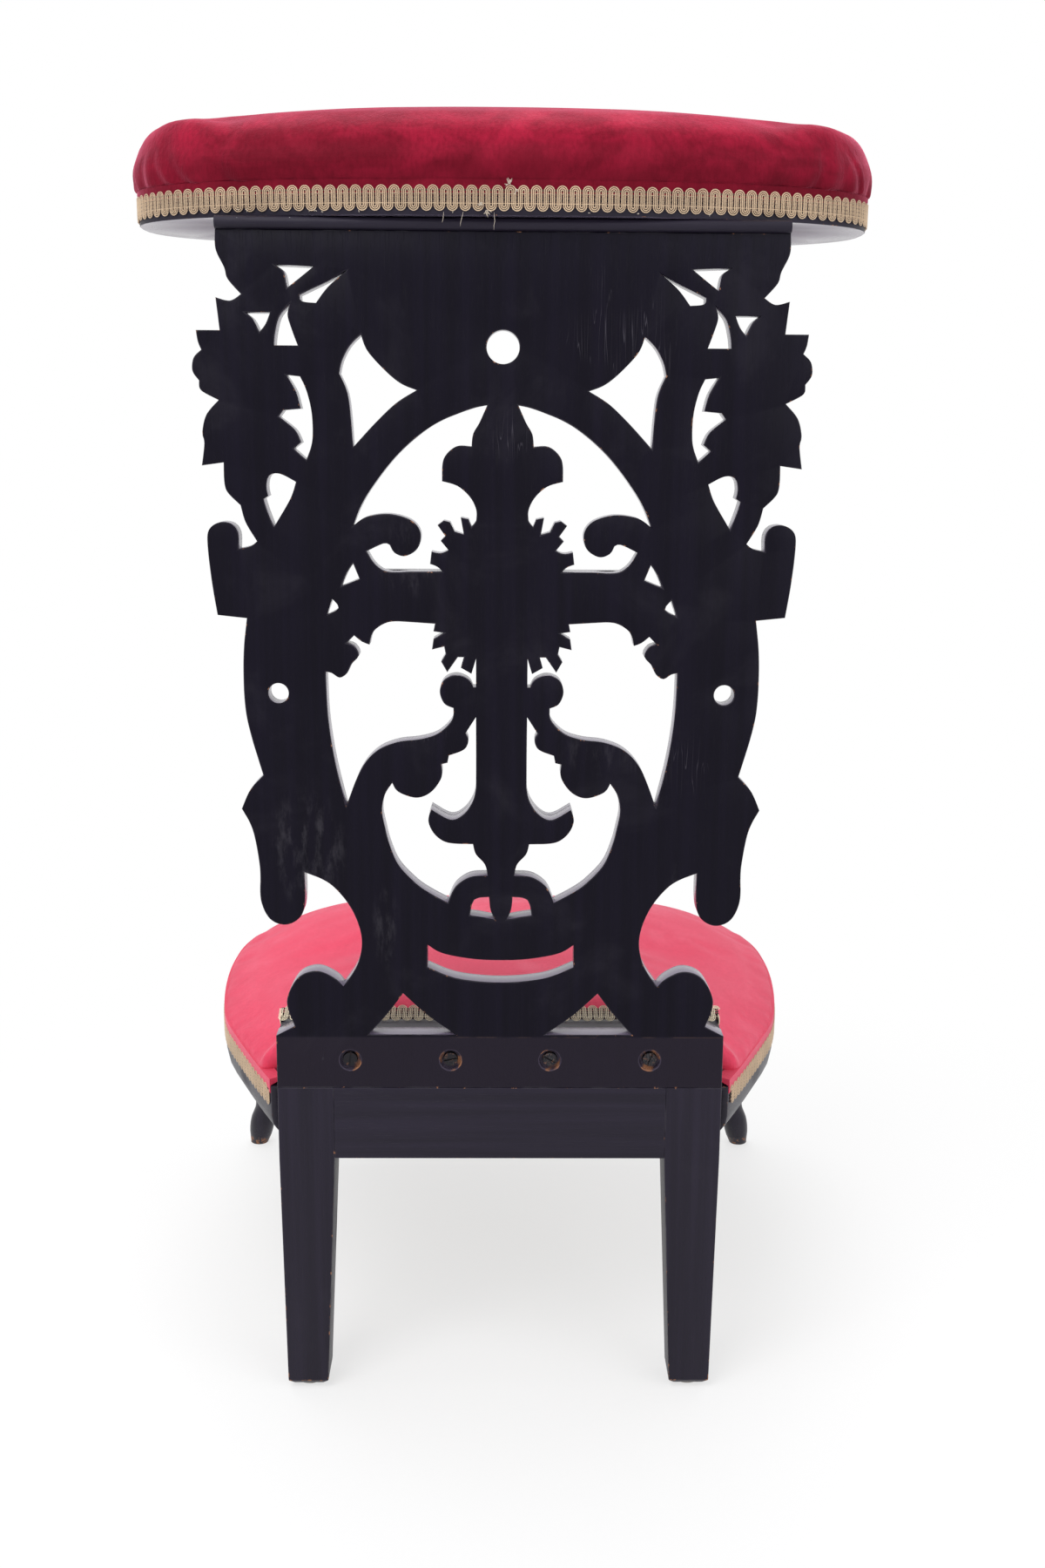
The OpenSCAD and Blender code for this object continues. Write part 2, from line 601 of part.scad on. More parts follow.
// Outline of the cushion: the rim, then a straight back along the batten
// The third value is 0 where it sits on the rails and 1 where it climbs over the batten, and
// the fourth is the same change softened, for the cushion's top
seat_back_y = -fret_t - batten_d - web_t - 2 * soft_gap;
back_shares = [[178, 0, 0.8], [170, 0.25, 0.84], [161, 0.7, 0.88], [150, 1, 0.92], [130, 1, 0.96],
    [105, 1, 1], [80, 1, 1], [54, 1, 1], [27, 1, 1], [0, 1, 1]];
swell_share = 0.38;
function soft_climb(y) = pow(max(0, 1 + (y - seat_back_y) / (seat_d * swell_share)), 1.6) * 0.8;
back_half = [for (s = back_shares)
    [s[0] * plan_share[0] * seat_half_w, seat_back_y, s[1], s[2]]];
rim_half = [for (i = [len(rim) - 1:-1:rim_steps]) [rim[i][0], rim[i][1], 0, soft_climb(rim[i][1])]];
half_round = concat(rim_half, [for (i = [1:len(back_half) - 1]) back_half[i]]);
seat_round = concat(half_round, [for (i = [len(half_round) - 2:-1:1]) let (p = half_round[i])
    [-p[0], p[1], p[2], p[3]]]);
seat_centre = [0, -leg_d - seat_d / 2];

hessian_share = 0.92;
module hessian() {
    color("#9c8458")
    place() translate([0, 0, hessian_z]) linear_extrude(height = hessian_t)
        translate(seat_centre) scale(hessian_share) translate(-seat_centre)
            polygon([for (p = seat_round) flat(p)]);
}

// Rings of the cushion from its underside to its crown: size and rise where it sits on the
// rails, size and rise at the batten, where a rise of 1 is the batten's top, and how sharply
// the ring changes from one to the other
cushion_share_rows = [
    [0.94, 0.07, 0.94, 0, 1], [0.96, 0, 1, 0, 1], [0.985, 0, 1, 0.5, 1], [0.99, 0.07, 1, 1, 1],
    [0.982, 0.16, 1.04, 1, 1], [0.955, 0.28, 1.041, 1.12, 1], [0.91, 0.4, 1, 1.35, 0.7],
    [0.84, 0.52, 0.92, 1.5, 0.35], [0.74, 0.65, 0.8, 1.65, 0.1], [0.58, 0.8, 0.62, 1.8, 0],
    [0.36, 0.93, 0.38, 1.93, 0]];
crown_z = rail_top + seat_crown;
batten_rest = batten_top + soft_gap;
function mix(a, b, t) = a + (b - a) * t;
function back_rise(t) = t <= 1 ? mix(cushion_z, batten_rest, t) : mix(batten_rest, crown_z, t - 1);
function ring_point(p, r) = let (climb = mix(p[3], p[2], r[4]), size = mix(r[0], r[2], climb),
    z = mix(rail_top + soft_gap + r[1] * seat_crown, back_rise(r[3]), climb))
    [mix(seat_centre[0], p[0], size), mix(seat_centre[1], p[1], size), z];

// A solid skinned over rings of equal length, closed to a point at each end
module skin(rings, low, high) {
    n = len(rings);
    m = len(rings[0]);
    points = concat([for (r = rings) each r], [low, high]);
    walls = [for (i = [0:n - 2], k = [0:m - 1])
        let (a = i * m + k, b = i * m + (k + 1) % m) each [[a, b, b + m], [a, b + m, a + m]]];
    bottom = [for (k = [0:m - 1]) [(k + 1) % m, k, n * m]];
    top = [for (k = [0:m - 1]) [(n - 1) * m + k, (n - 1) * m + (k + 1) % m, n * m + 1]];
    polyhedron(points = points, faces = concat(walls, bottom, top), convexity = 6);
}
module seat_cushion() {
    color("#8f1330")
    place() skin([for (r = cushion_share_rows) [for (p = seat_round) ring_point(p, r)]],
        [seat_centre[0], seat_centre[1], cushion_z], [seat_centre[0], seat_centre[1], crown_z]);
}

// Gimp braid round the seat and over the batten

gimp_top = rail_top - soft_gap;
gimp_section = [[soft_gap, gimp_top], [soft_gap + gimp_t, gimp_top],
    [soft_gap + gimp_t, gimp_top - gimp_w], [soft_gap, gimp_top - gimp_w]];
module seat_gimp() { color("#c2a06a") place() bar(whole_rows, gimp_section); }

gimp_slope = 25;
rear_gimp_y = -fret_t - batten_d + gimp_w * 1.3;
rear_gimp_run = gimp_w * cos(gimp_slope);
rear_gimp_rise = gimp_w * sin(gimp_slope);
strip_half = base_half_w + soft_gap + gimp_t;
// Side views of the braid along the batten's top and of its drop down the batten's end
strip_face = [[rear_gimp_y, batten_rest],
    [rear_gimp_y + gimp_t * sin(gimp_slope), batten_rest + gimp_t * cos(gimp_slope)],
    [rear_gimp_y + gimp_t * sin(gimp_slope) - rear_gimp_run,
    batten_rest + gimp_t * cos(gimp_slope) + rear_gimp_rise],
    [rear_gimp_y - rear_gimp_run, batten_rest + rear_gimp_rise]];
drop_face = [[rear_gimp_y, rail_top], [rear_gimp_y, batten_rest - soft_gap],
    [rear_gimp_y - rear_gimp_run, batten_rest - soft_gap + rear_gimp_rise],
    [rear_gimp_y - rear_gimp_run, rail_top]];
module rear_gimp() {
    color("#c2a06a")
    place() {
        translate([-strip_half, 0, 0]) rotate([90, 0, 90])
            linear_extrude(height = 2 * strip_half) polygon(strip_face);
        both() translate([base_half_w + soft_gap, 0, 0]) rotate([90, 0, 90])
            linear_extrude(height = gimp_t) polygon(drop_face);
    }
}

// Armrest: cleat, board, cushion and braid

module armrest_cleat() {
    color("#232028")
    place() difference() {
        translate([-fret_half_w, 0, cleat_z]) rotate([90, 0, 90])
            linear_extrude(height = 2 * fret_half_w) polygon(concat(
                [[cleat_lip - cleat_d, cleat_t], [cleat_lip - cleat_d, 0]],
                [for (a = [-90:22.5:90])
                    [cleat_lip - cleat_t / 2 + cleat_t / 2 * cos(a),
                    cleat_t / 2 + cleat_t / 2 * sin(a)]]));
        top_dowel_holes();
        cleat_screw_holes();
    }
}
module cleat_screw_holes() {
    for (s = cleat_screw_x_shares) translate([fret_half_w * s, cleat_screw_y, cleat_z]) {
        translate([0, 0, -overrun])
            cylinder(r = head_r + fit_gap, h = head_t + overrun, $fn = small_fn);
        cylinder(r = shank_r + fit_gap, h = head_t + cleat_screw_l + fit_gap, $fn = small_fn);
    }
}

arm_power = 2.5;
arm_sides = 64;
arm_y = arm_overhang - arm_half_d;
function bend_of(v) = sign(v) * pow(abs(v), 2 / arm_power);
function arm_round(extra, size = 1) = [for (i = [0:arm_sides - 1]) let (a = 360 * i / arm_sides)
    [(arm_half_w + extra) * size * bend_of(cos(a)),
    arm_y + (arm_half_d + extra) * size * bend_of(sin(a))]];

module armrest_board() {
    color("#2a252c")
    place() difference() {
        translate([0, 0, board_z]) linear_extrude(height = arm_t) polygon(arm_round(0));
        top_dowel_holes();
        cleat_screw_holes();
    }
}

arm_gimp_z = board_z + arm_t * 0.12;
module armrest_gimp() {
    color("#c2a06a")
    place() translate([0, 0, arm_gimp_z]) linear_extrude(height = gimp_w) difference() {
        polygon(arm_round(soft_gap + gimp_t));
        polygon(arm_round(soft_gap));
    }
}

// Rings of the armrest cushion: swell, size and rise
arm_share_rows = [[0, 0.99, 0], [0.6, 1, 0.06], [1, 1, 0.18], [1, 1, 0.32], [0.8, 0.985, 0.5],
    [0.4, 0.945, 0.665], [0, 0.85, 0.785], [0, 0.62, 0.89], [0, 0.3, 0.97]];
module armrest_cushion() {
    color("#7d1430")
    place() skin([for (r = arm_share_rows) [for (p = arm_round(arm_swell * r[0], r[1]))
            [p[0], p[1], board_top + soft_gap + (arm_crown - soft_gap) * r[2]]]],
        [0, arm_y, board_top + soft_gap], [0, arm_y, board_top + arm_crown]);
}

fret_back();
front_cross();
rear_leg_left();
rear_leg_right();
rear_rail();
rear_batten();
seat_rail_left();
seat_rail_right();
front_rail();
front_leg_left();
front_leg_right();
leg_glides();
dowels();
back_screws();
webbing_long();
webbing_cross();
hessian();
seat_cushion();
seat_gimp();
rear_gimp();
armrest_cleat();
cleat_screws();
armrest_board();
armrest_cushion();
armrest_gimp();
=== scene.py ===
import json
import math
import random

import bmesh
import bpy
import numpy as np
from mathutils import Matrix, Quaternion, Vector, noise

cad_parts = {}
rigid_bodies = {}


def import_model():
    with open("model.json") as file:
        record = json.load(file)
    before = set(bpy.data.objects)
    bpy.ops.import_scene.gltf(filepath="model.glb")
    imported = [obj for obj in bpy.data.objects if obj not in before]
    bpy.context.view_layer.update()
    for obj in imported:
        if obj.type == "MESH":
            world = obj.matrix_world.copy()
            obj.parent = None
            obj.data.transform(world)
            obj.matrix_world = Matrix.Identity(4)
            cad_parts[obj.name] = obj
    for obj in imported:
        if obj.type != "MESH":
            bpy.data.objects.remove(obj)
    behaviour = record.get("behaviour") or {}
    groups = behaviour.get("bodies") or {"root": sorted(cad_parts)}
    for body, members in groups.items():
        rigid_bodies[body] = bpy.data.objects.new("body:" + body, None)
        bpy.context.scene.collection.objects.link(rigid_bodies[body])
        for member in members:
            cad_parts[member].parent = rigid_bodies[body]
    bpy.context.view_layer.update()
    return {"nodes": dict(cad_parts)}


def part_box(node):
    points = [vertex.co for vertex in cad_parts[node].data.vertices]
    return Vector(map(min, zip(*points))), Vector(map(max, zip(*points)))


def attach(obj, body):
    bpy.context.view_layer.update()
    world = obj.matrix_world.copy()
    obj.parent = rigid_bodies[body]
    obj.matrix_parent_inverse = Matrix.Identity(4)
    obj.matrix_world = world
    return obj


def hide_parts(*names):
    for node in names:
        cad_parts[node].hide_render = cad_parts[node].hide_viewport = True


bl_info = {
    "name": "Prie-dieu chair finish",
    "version": (1, 0, 0),
    "blender": (4, 5, 0),
    "location": "3D View > Sidebar > Prie-dieu",
    "description": "Builds the visible pieces of a prie-dieu chair over its packed frame",
    "category": "Object",
}

for leftover in list(bpy.data.objects):
    bpy.data.objects.remove(leftover)
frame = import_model()
BACK_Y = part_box("fret_back")[1].y
FRONT_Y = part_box("fret_back")[0].y
WELD = 2e-5


# Sizes and colours that a user would change


def length(name, description, default):
    return bpy.props.FloatProperty(name=name, description=description, default=default,
                                   min=0.0, unit="LENGTH", precision=5)


def colour(name, description, default):
    return bpy.props.FloatVectorProperty(name=name, description=description, default=default,
                                         size=3, min=0.0, max=1.0, subtype="COLOR")


class ChairSizes(bpy.types.PropertyGroup):
    panel_easing: length("Panel easing", "Softened edge of the fret panel", 0.0007)
    cross_easing: length("Cross easing", "Rounded edge of the cross on the front", 0.0018)
    frame_easing: length("Frame easing", "Softened edges of rails, legs and board", 0.0007)
    loop_pitch: length("Loop pitch", "Distance from one loop of the braid to the next", 0.008)
    cord_width: length("Cord width", "Thickness of one cord of the braid", 0.00074)
    cord_spacing: length("Cord spacing", "Distance between the braid's cords", 0.00112)
    cloth_grid: length("Cloth grid", "Size of the cloth's facets before they are smoothed", 0.005)
    armrest_swell: length("Armrest swell", "Furthest that the armrest's stuffing may push", 0.0018)
    seat_swell: length("Seat swell", "Furthest that the seat's stuffing may push", 0.004)
    screw_radius: length("Screw radius", "Radius of a screw's head", 0.0052)
    screw_height: length("Screw height", "Thickness of a screw's head", 0.0024)
    slot_width: length("Slot width", "Width of a screw's slot", 0.0012)
    shank_radius: length("Shank radius", "Radius of a screw's shank", 0.0024)
    cloth_sway: length("Cloth sway", "Height of the waves in webbing and hessian", 0.0006)
    cloth_sag: length("Cloth sag", "How far the webbing hangs in the middle", 0.0022)


class ChairColours(bpy.types.PropertyGroup):
    fret_black: colour("Fret black", "Stain of the fret panel", (0.0033, 0.0024, 0.0070))
    frame_black: colour("Frame black", "Stain of the legs and rails", (0.0112, 0.0086, 0.0175))
    rubbed: colour("Rubbed polish", "Cloudy, worn polish", (0.075, 0.07, 0.085))
    bare_wood: colour("Bare wood", "Wood where the stain has chipped off", (0.28, 0.13, 0.072))
    velvet: colour("Velvet", "Armrest velvet", (0.21, 0.0015, 0.0165))
    # The seat's velvet is the armrest's velvet, painted lighter and pinker: painted light of the strong light on the
    # seat.
    seat_velvet: colour("Seat velvet", "Seat velvet, faded lighter", (0.78, 0.05, 0.115))
    braid: colour("Braid", "Cords of the gimp braid", (0.64, 0.475, 0.32))
    braid_ground: colour("Braid ground", "Threads behind the braid's loops", (0.05, 0.022, 0.016))
    # A paler colour for the braid over the batten.
    braid_paler: colour("Paler braid", "Cords of the braid over the batten", (0.86, 0.74, 0.56))
    loose_thread: colour("Loose thread", "Pale threads, fluff and flakes of glue", (0.78, 0.68, 0.56))
    jute: colour("Jute", "Webbing straps", (0.42, 0.30, 0.16))
    hessian: colour("Hessian", "Hessian over the webbing", (0.34, 0.24, 0.13))
    beech: colour("Pale wood", "Dowels", (0.56, 0.36, 0.18))
    steel: colour("Steel", "Blackened screws", (0.028, 0.027, 0.031))
    glide: colour("Glide", "Dull steel glides", (0.36, 0.35, 0.33))


def sizes():
    return bpy.context.scene.chair_sizes


def paint(name):
    return (*getattr(bpy.context.scene.chair_colours, name), 1.0)


# Node trees written as plain sums


class Wire:
    """An output socket that takes part in plain arithmetic."""

    def __init__(self, tree, socket):
        self.tree = tree
        self.socket = socket

    def other(self, name):
        return Wire(self.tree, self.socket.node.outputs[name])

    def __add__(self, b):
        return self.tree.maths("ADD", self, b)

    def __radd__(self, a):
        return self.tree.maths("ADD", a, self)

    def __sub__(self, b):
        return self.tree.maths("SUBTRACT", self, b)

    def __rsub__(self, a):
        return self.tree.maths("SUBTRACT", a, self)

    def __mul__(self, b):
        return self.tree.maths("MULTIPLY", self, b)

    def __rmul__(self, a):
        return self.tree.maths("MULTIPLY", a, self)

    def __truediv__(self, b):
        return self.tree.maths("DIVIDE", self, b)

    def __rtruediv__(self, a):
        return self.tree.maths("DIVIDE", a, self)

    def __abs__(self):
        return self.tree.maths("ABSOLUTE", self)


class Tree:
    """A material's or a modifier's node tree."""

    def __init__(self, tree):
        self.tree = tree

    def node(self, kind, settings=None, sockets=None, out=0):
        """Adds a node: its settings first, then its sockets, and gives one of its outputs."""
        made = self.tree.nodes.new(kind)
        for key, value in (settings or {}).items():
            if key == "stops":
                self.set_stops(made.color_ramp, value)
            else:
                setattr(made, key, value)
        for key, value in (sockets or {}).items():
            socket = self.pick(made.inputs, key)
            if isinstance(value, Wire):
                self.tree.links.new(value.socket, socket)
            else:
                socket.default_value = value
        return Wire(self, self.pick(made.outputs, out)) if len(made.outputs) else None

    def pick(self, sockets, key):
        named = [s for s in sockets if s.identifier == key]
        return named[0] if named else sockets[key]

    def set_stops(self, ramp, stops):
        while len(ramp.elements) < len(stops):
            ramp.elements.new(0.5)
        for element, (place, shade) in zip(ramp.elements, stops):
            element.position = place
            element.color = shade

    def maths(self, operation, *values, clamp=False):
        return self.node("ShaderNodeMath", {"operation": operation, "use_clamp": clamp},
                         dict(enumerate(values)))

    def vector(self, operation, *values, scale=None):
        sockets = dict(enumerate(values))
        if scale is not None:
            sockets["Scale"] = scale
        return self.node("ShaderNodeVectorMath", {"operation": operation}, sockets)

    def step(self, value, low, high):
        """0 below low, 1 above high, and smooth between them."""
        return self.node("ShaderNodeMapRange", {"interpolation_type": "SMOOTHSTEP"},
                         {"Value": value, "From Min": low, "From Max": high})

    def tint(self, share, a, b, way="MIX"):
        return self.node("ShaderNodeMix", {"data_type": "RGBA", "blend_type": way},
                         {"Factor_Float": share, "A_Color": a, "B_Color": b}, "Result_Color")

    def place(self):
        return self.node("ShaderNodeTexCoord", out="Object")

    def stretched(self, at, scale, turn=(0.0, 0.0, 0.0)):
        return self.node("ShaderNodeMapping", None,
                         {"Vector": at, "Scale": scale, "Rotation": turn})

    def noise(self, at, scale, detail=2.0, roughness=0.5, distortion=0.0):
        return self.node("ShaderNodeTexNoise", None, {
            "Vector": at, "Scale": scale, "Detail": detail, "Roughness": roughness,
            "Distortion": distortion})

    def cells(self, at, scale, out="Distance"):
        return self.node("ShaderNodeTexVoronoi", None, {"Vector": at, "Scale": scale}, out)

    def field(self, name):
        return self.node("ShaderNodeAttribute", {"attribute_name": name}, out="Fac")

    def bump(self, height, depth, strength=1.0):
        return self.node("ShaderNodeBump", None,
                         {"Strength": strength, "Distance": depth, "Height": height}, "Normal")

    def shade(self, sockets):
        surface = self.node("ShaderNodeBsdfPrincipled", None, sockets)
        self.node("ShaderNodeOutputMaterial", None, {"Surface": surface})


def material(name):
    made = bpy.data.materials.get(name) or bpy.data.materials.new(name)
    made.use_nodes = True
    made.node_tree.nodes.clear()
    return made, Tree(made.node_tree)


# Finishes


def worn_lines(tree, at, turn, scale, width, cover):
    """Thin scratches along one direction, gathered in patches."""
    painted_low_shade = tree.stretched(at, scale, turn)
    ripple = abs(tree.noise(painted_low_shade, 1.0, 1.0, 0.3) - 0.5)
    line = 1.0 - tree.step(ripple, width * 0.3, width)
    patch = tree.step(tree.noise(tree.stretched(at, (9.0, 9.0, 9.0), turn), 1.0, 2.0), cover, cover + 0.07)
    return line * patch


def spot(tree, at, centre, reach):
    """1 in the middle of a worn place on the panel's face, fading to 0 at its reach."""
    across = (at - centre[0]) / reach[0]
    up = (at.other("Z") - centre[1]) / reach[1]
    return 1.0 - tree.step(across * across + up * up, 0.15, 1.0)


RUBBED_SPOTS = (((0.131, 0.405), (0.032, 0.045), 0.38), ((0.078, 0.350), (0.011, 0.036), 0.3),
                ((0.12, 0.2545), (0.009, 0.0016), 0.8), ((-0.065, 0.47), (0.03, 0.02), 0.2),
                ((0.06, 0.60), (0.025, 0.03), 0.2), ((-0.12, 0.36), (0.012, 0.04), 0.25))
SCREW_SPOTS = ((0.1042, 0.2534), (0.0346, 0.2534), (-0.0346, 0.2534), (-0.1042, 0.2534))


def black_wood(name, stain, along, gloss=0.34, panel=False, level=0.16, batten=False):
    """Black stained and polished wood: grain, cloudy rubbing, scratches, lint, chipped edges, and a painted reflection
    on its cut walls and undersides.
    """
    made, tree = material(name)
    at = tree.place()
    spread = {"x": (22.0, 900.0, 900.0), "y": (900.0, 22.0, 900.0), "z": (900.0, 900.0, 22.0)}[along]
    grain = tree.noise(tree.stretched(at, spread), 1.0, 4.0, 0.6)
    broad = tree.noise(tree.stretched(at, tuple(v * 0.12 for v in spread)), 1.0, 3.0, 0.55)
    pores = 1.0 - tree.step(tree.noise(tree.stretched(at, tuple(v * 2.4 for v in spread)), 1.0, 1.0),
                            0.28, 0.38)
    cloud = tree.noise(at, 16.0, 5.0, 0.62, 0.5)
    haze = tree.step(cloud, 0.52, 0.78)
    lines = (worn_lines(tree, at, (0.0, 0.35, 0.0), (420.0, 420.0, 16.0), 0.014, 0.66)
             + worn_lines(tree, at, (0.3, -0.75, 0.0), (380.0, 380.0, 18.0), 0.014, 0.68)
             + worn_lines(tree, at, (0.0, 0.08, 0.2), (520.0, 520.0, 14.0), 0.014, 0.66))
    lint_cell = tree.cells(at, 240.0)
    lint = (1.0 - tree.step(lint_cell, 0.05, 0.11)) * tree.step(lint_cell.other("Color"), 0.86, 0.88)
    edge = tree.field("worn_edge")
    sawn = tree.field("sawn")
    flake = tree.noise(at, 210.0, 3.0, 0.7)
    split = tree.node("ShaderNodeSeparateXYZ", None, {0: at})
    foot = 1.0 - tree.step(split.other("Z"), 0.006, 0.03)
    chip = edge * tree.step(flake + foot * 0.11, 0.62, 0.68)
    rub_edge = edge * tree.step(tree.noise(at, 38.0, 3.0, 0.6), 0.42, 0.62)
    shade = tree.tint(0.55 * tree.step(broad, 0.35, 0.7), stain, tuple(v * 1.9 for v in stain[:3]) + (1.0,))
    rub = haze * 0.09 * (0.5 + grain)
    rubbing = tree.noise(tree.stretched(at, (150.0, 150.0, 45.0), (0.0, 0.2, 0.0)), 1.0, 5.0, 0.7)
    if panel:
        low_zone = 1.0 - tree.step(split.other("Z"), 0.2694, 0.2712)
        joint = tree.step(split.other("Z"), 0.2696, 0.2700) * (1.0 - tree.step(split.other("Z"), 0.2704, 0.2708)) \
            * (1.0 - tree.step(split, 0.028, 0.038)) * tree.step(tree.noise(at, 90.0, 3.0), 0.42, 0.6)
        shade = tree.tint(low_zone * 0.8, shade, (0.0160, 0.0120, 0.0205, 1.0))
        shade = tree.tint(joint * 0.24, shade, (0.10, 0.06, 0.05, 1.0))
        for centre, reach, depth in RUBBED_SPOTS:
            rub = rub + spot(tree, split, centre, reach) * depth * tree.step(rubbing, 0.46, 0.74)
        sunk = None
        for centre in SCREW_SPOTS:
            ring = spot(tree, split, centre, (0.0098, 0.0098))
            sunk = ring if sunk is None else sunk + ring
        worn_side = tree.step(tree.noise(at, 95.0, 2.0), 0.5, 0.62)
        chip = chip + tree.step(sunk, 0.02, 0.1) * tree.step(sawn, 0.05, 0.15) * worn_side
        rub = rub + sunk * 0.05
    rub = tree.maths("ADD", rub, rub_edge * 0.3, clamp=True)
    shade = tree.tint(rub, shade, paint("rubbed"))
    shade = tree.tint(tree.maths("MULTIPLY", lines, 0.3, clamp=True), shade, (0.13, 0.12, 0.15, 1.0))
    # painted reflection: the cut walls and the board's underside are tinted lavender-grey, as if they reflected the
    # white surroundings
    shade = tree.tint(sawn * (0.6 + grain * 0.5), shade, (0.165, 0.135, 0.205, 1.0))
    shade = tree.tint(tree.maths("MULTIPLY", chip, 1.0, clamp=True), shade, paint("bare_wood"))
    shade = tree.tint(lint * 0.6, shade, (0.6, 0.58, 0.6, 1.0))
    if batten:
        wander = tree.noise(tree.stretched(at, (95.0, 1.0, 1.0)), 1.0, 4.0, 0.7) - 0.5
        off_line = abs(split.other("Y") - (FRONT_Y - 0.0042) - wander * 0.0045)
        span = tree.step(split, 0.052, 0.062) * (1.0 - tree.step(split, 0.112, 0.124))
        crack = (1.0 - tree.step(off_line, 0.00022, 0.00055)) * span
        shade = tree.tint(crack, shade, (0.001, 0.001, 0.001, 1.0))
    rough = gloss + haze * 0.22 + grain * 0.12 + sawn * 0.18 + lines * 0.1 + chip * 0.3
    height = grain * 0.35 + broad * 0.3 - pores * 0.5 - lines * 0.5 - chip * 0.8
    tree.shade({"Base Color": shade, "Roughness": rough, "Specular IOR Level": level,
                "Coat Weight": tree.step(sawn, 0.3, 1.0), "Coat Roughness": 0.22, "Coat IOR": 1.8,
                "Normal": tree.bump(height, 0.00022, 0.75)})
    return made


def velvet(name, pile, light, gloss, sheen, tacked, nap=1.0, clouds=0.55, shine=0.2,
           glow=(1.0, 0.42, 0.52, 1.0)):
    """Cotton velvet: nap in two directions, crushed patches, lint and a soft sheen. It is darker below
    the two heights it is given, fading between them: painted shade on the lower sides, down to the braid."""
    made, tree = material(name)
    at = tree.place()
    fuzz = tree.noise(at, 1500.0, 2.0, 0.7)
    tuft = tree.noise(tree.stretched(at, (420.0, 420.0, 170.0)), 1.0, 3.0, 0.6)
    lie = tree.noise(tree.stretched(at, (26.0, 26.0, 46.0)), 1.0, 3.0, 0.55, 0.8)
    crushed = tree.step(tree.noise(at, 13.0, 3.0, 0.6, 1.0), 0.5, 0.72)
    lint_cell = tree.cells(at, 170.0)
    lint = (1.0 - tree.step(lint_cell, 0.04, 0.09)) * tree.step(lint_cell.other("Color"), 0.93, 0.94)
    shade = tree.tint(tree.step(lie, 0.3, 0.7) * clouds, pile, light)
    shade = tree.tint(tree.step(tuft, 0.35, 0.75) * 0.35 * nap, shade, tuple(v * 0.35 for v in pile[:3]) + (1.0,))
    shade = tree.tint(crushed * clouds * 0.36, shade, tuple(min(1.0, v * 1.35) for v in light[:3]) + (1.0,))
    height = tree.node("ShaderNodeSeparateXYZ", None, {0: at}).other("Z")
    # painted shade: the cushion is darkened from the first height downwards, towards the braid
    painted_low_shade = 1.0 - tree.step(height + (lie - 0.5) * 0.012, tacked[0], tacked[1])
    shade = tree.tint(painted_low_shade * tacked[2], shade, tuple(v * 0.3 for v in pile[:3]) + (1.0,))
    shade = tree.tint(lint * 0.7, shade, (0.75, 0.6, 0.6, 1.0))
    tree.shade({"Base Color": shade, "Roughness": gloss + tuft * 0.2 - crushed * 0.12,
                "Specular IOR Level": shine, "Sheen Weight": sheen, "Sheen Roughness": 0.38,
                "Sheen Tint": glow,
                "Normal": tree.bump(fuzz * 0.5 + tuft * 0.8 * nap + lie * 0.6, 0.0006, 0.6)})
    return made


def braid_thread(name, base, dark):
    """Twisted silky cord, darker along the grooves of its twist."""
    made, tree = material(name)
    at = tree.place()
    along = tree.field("along")
    around = tree.field("around")
    twist = tree.maths("SINE", (along * 5200.0 + around * 6.2832 * 1.0))
    hair = tree.noise(at, 2600.0, 2.0, 0.6)
    faded = tree.noise(at, 30.0, 3.0, 0.6)
    shade = tree.tint(tree.step(faded, 0.35, 0.7), base, tuple(min(1.0, v * 1.22) for v in base[:3]) + (1.0,))
    shade = tree.tint(tree.step(twist, 0.1, 0.9) * 0.12 + hair * 0.22, shade, dark)
    tree.shade({"Base Color": shade, "Roughness": 0.55 + hair * 0.2, "Specular IOR Level": 0.3,
                "Sheen Weight": 0.25, "Sheen Roughness": 0.4,
                "Normal": tree.bump(twist * 0.5 + hair * 0.5, 0.00012, 0.8)})
    return made


def woven(name, base, count, thickness, stripe=0.0):
    """Coarse plain weave of flat yarns, with slubs and dust."""
    made, tree = material(name)
    at = tree.place()
    split = tree.node("ShaderNodeSeparateXYZ", None, {0: at})
    warp = tree.maths("SINE", split * count)
    weft = tree.maths("SINE", split.other("Y") * count)
    yarn = warp * weft
    slub = tree.noise(tree.stretched(at, (60.0, 900.0, 60.0)), 1.0, 3.0)
    fuzz = tree.noise(at, 1900.0, 2.0)
    dust = tree.noise(at, 24.0, 4.0)
    shade = tree.tint(tree.step(yarn, -0.6, 0.6), tuple(v * 0.45 for v in base[:3]) + (1.0,), base)
    shade = tree.tint(tree.step(slub, 0.45, 0.8) * 0.5, shade, tuple(min(1.0, v * 1.4) for v in base[:3]) + (1.0,))
    shade = tree.tint(tree.step(dust, 0.4, 0.75) * 0.35, shade, (0.12, 0.09, 0.06, 1.0))
    height = abs(warp) * 0.4 + yarn * 0.6 + fuzz * 0.3
    tree.shade({"Base Color": shade, "Roughness": 0.82 + fuzz * 0.15, "Specular IOR Level": 0.2,
                "Normal": tree.bump(height, thickness, 0.8)})
    return made


def steel(name, base, rust, gloss):
    """Hand-driven steel, burnished where the screwdriver slipped and rusty in the pits."""
    made, tree = material(name)
    at = tree.place()
    stain = tree.noise(at, 420.0, 4.0, 0.65)
    scuff = worn_lines(tree, at, (0.2, 0.6, 0.4), (2600.0, 2600.0, 160.0), 0.03, 0.45)
    rusty = tree.step(stain, 0.55, 0.68)
    shade = tree.tint(rusty * 0.8, base, rust)
    shade = tree.tint(scuff * 0.2, shade, (0.5, 0.5, 0.5, 1.0))
    tree.shade({"Base Color": shade, "Metallic": 1.0 - rusty, "Roughness": gloss + stain * 0.2 + rusty * 0.3,
                "Normal": tree.bump(stain * 0.6 - scuff * 0.4, 0.00006, 0.4)})
    return made


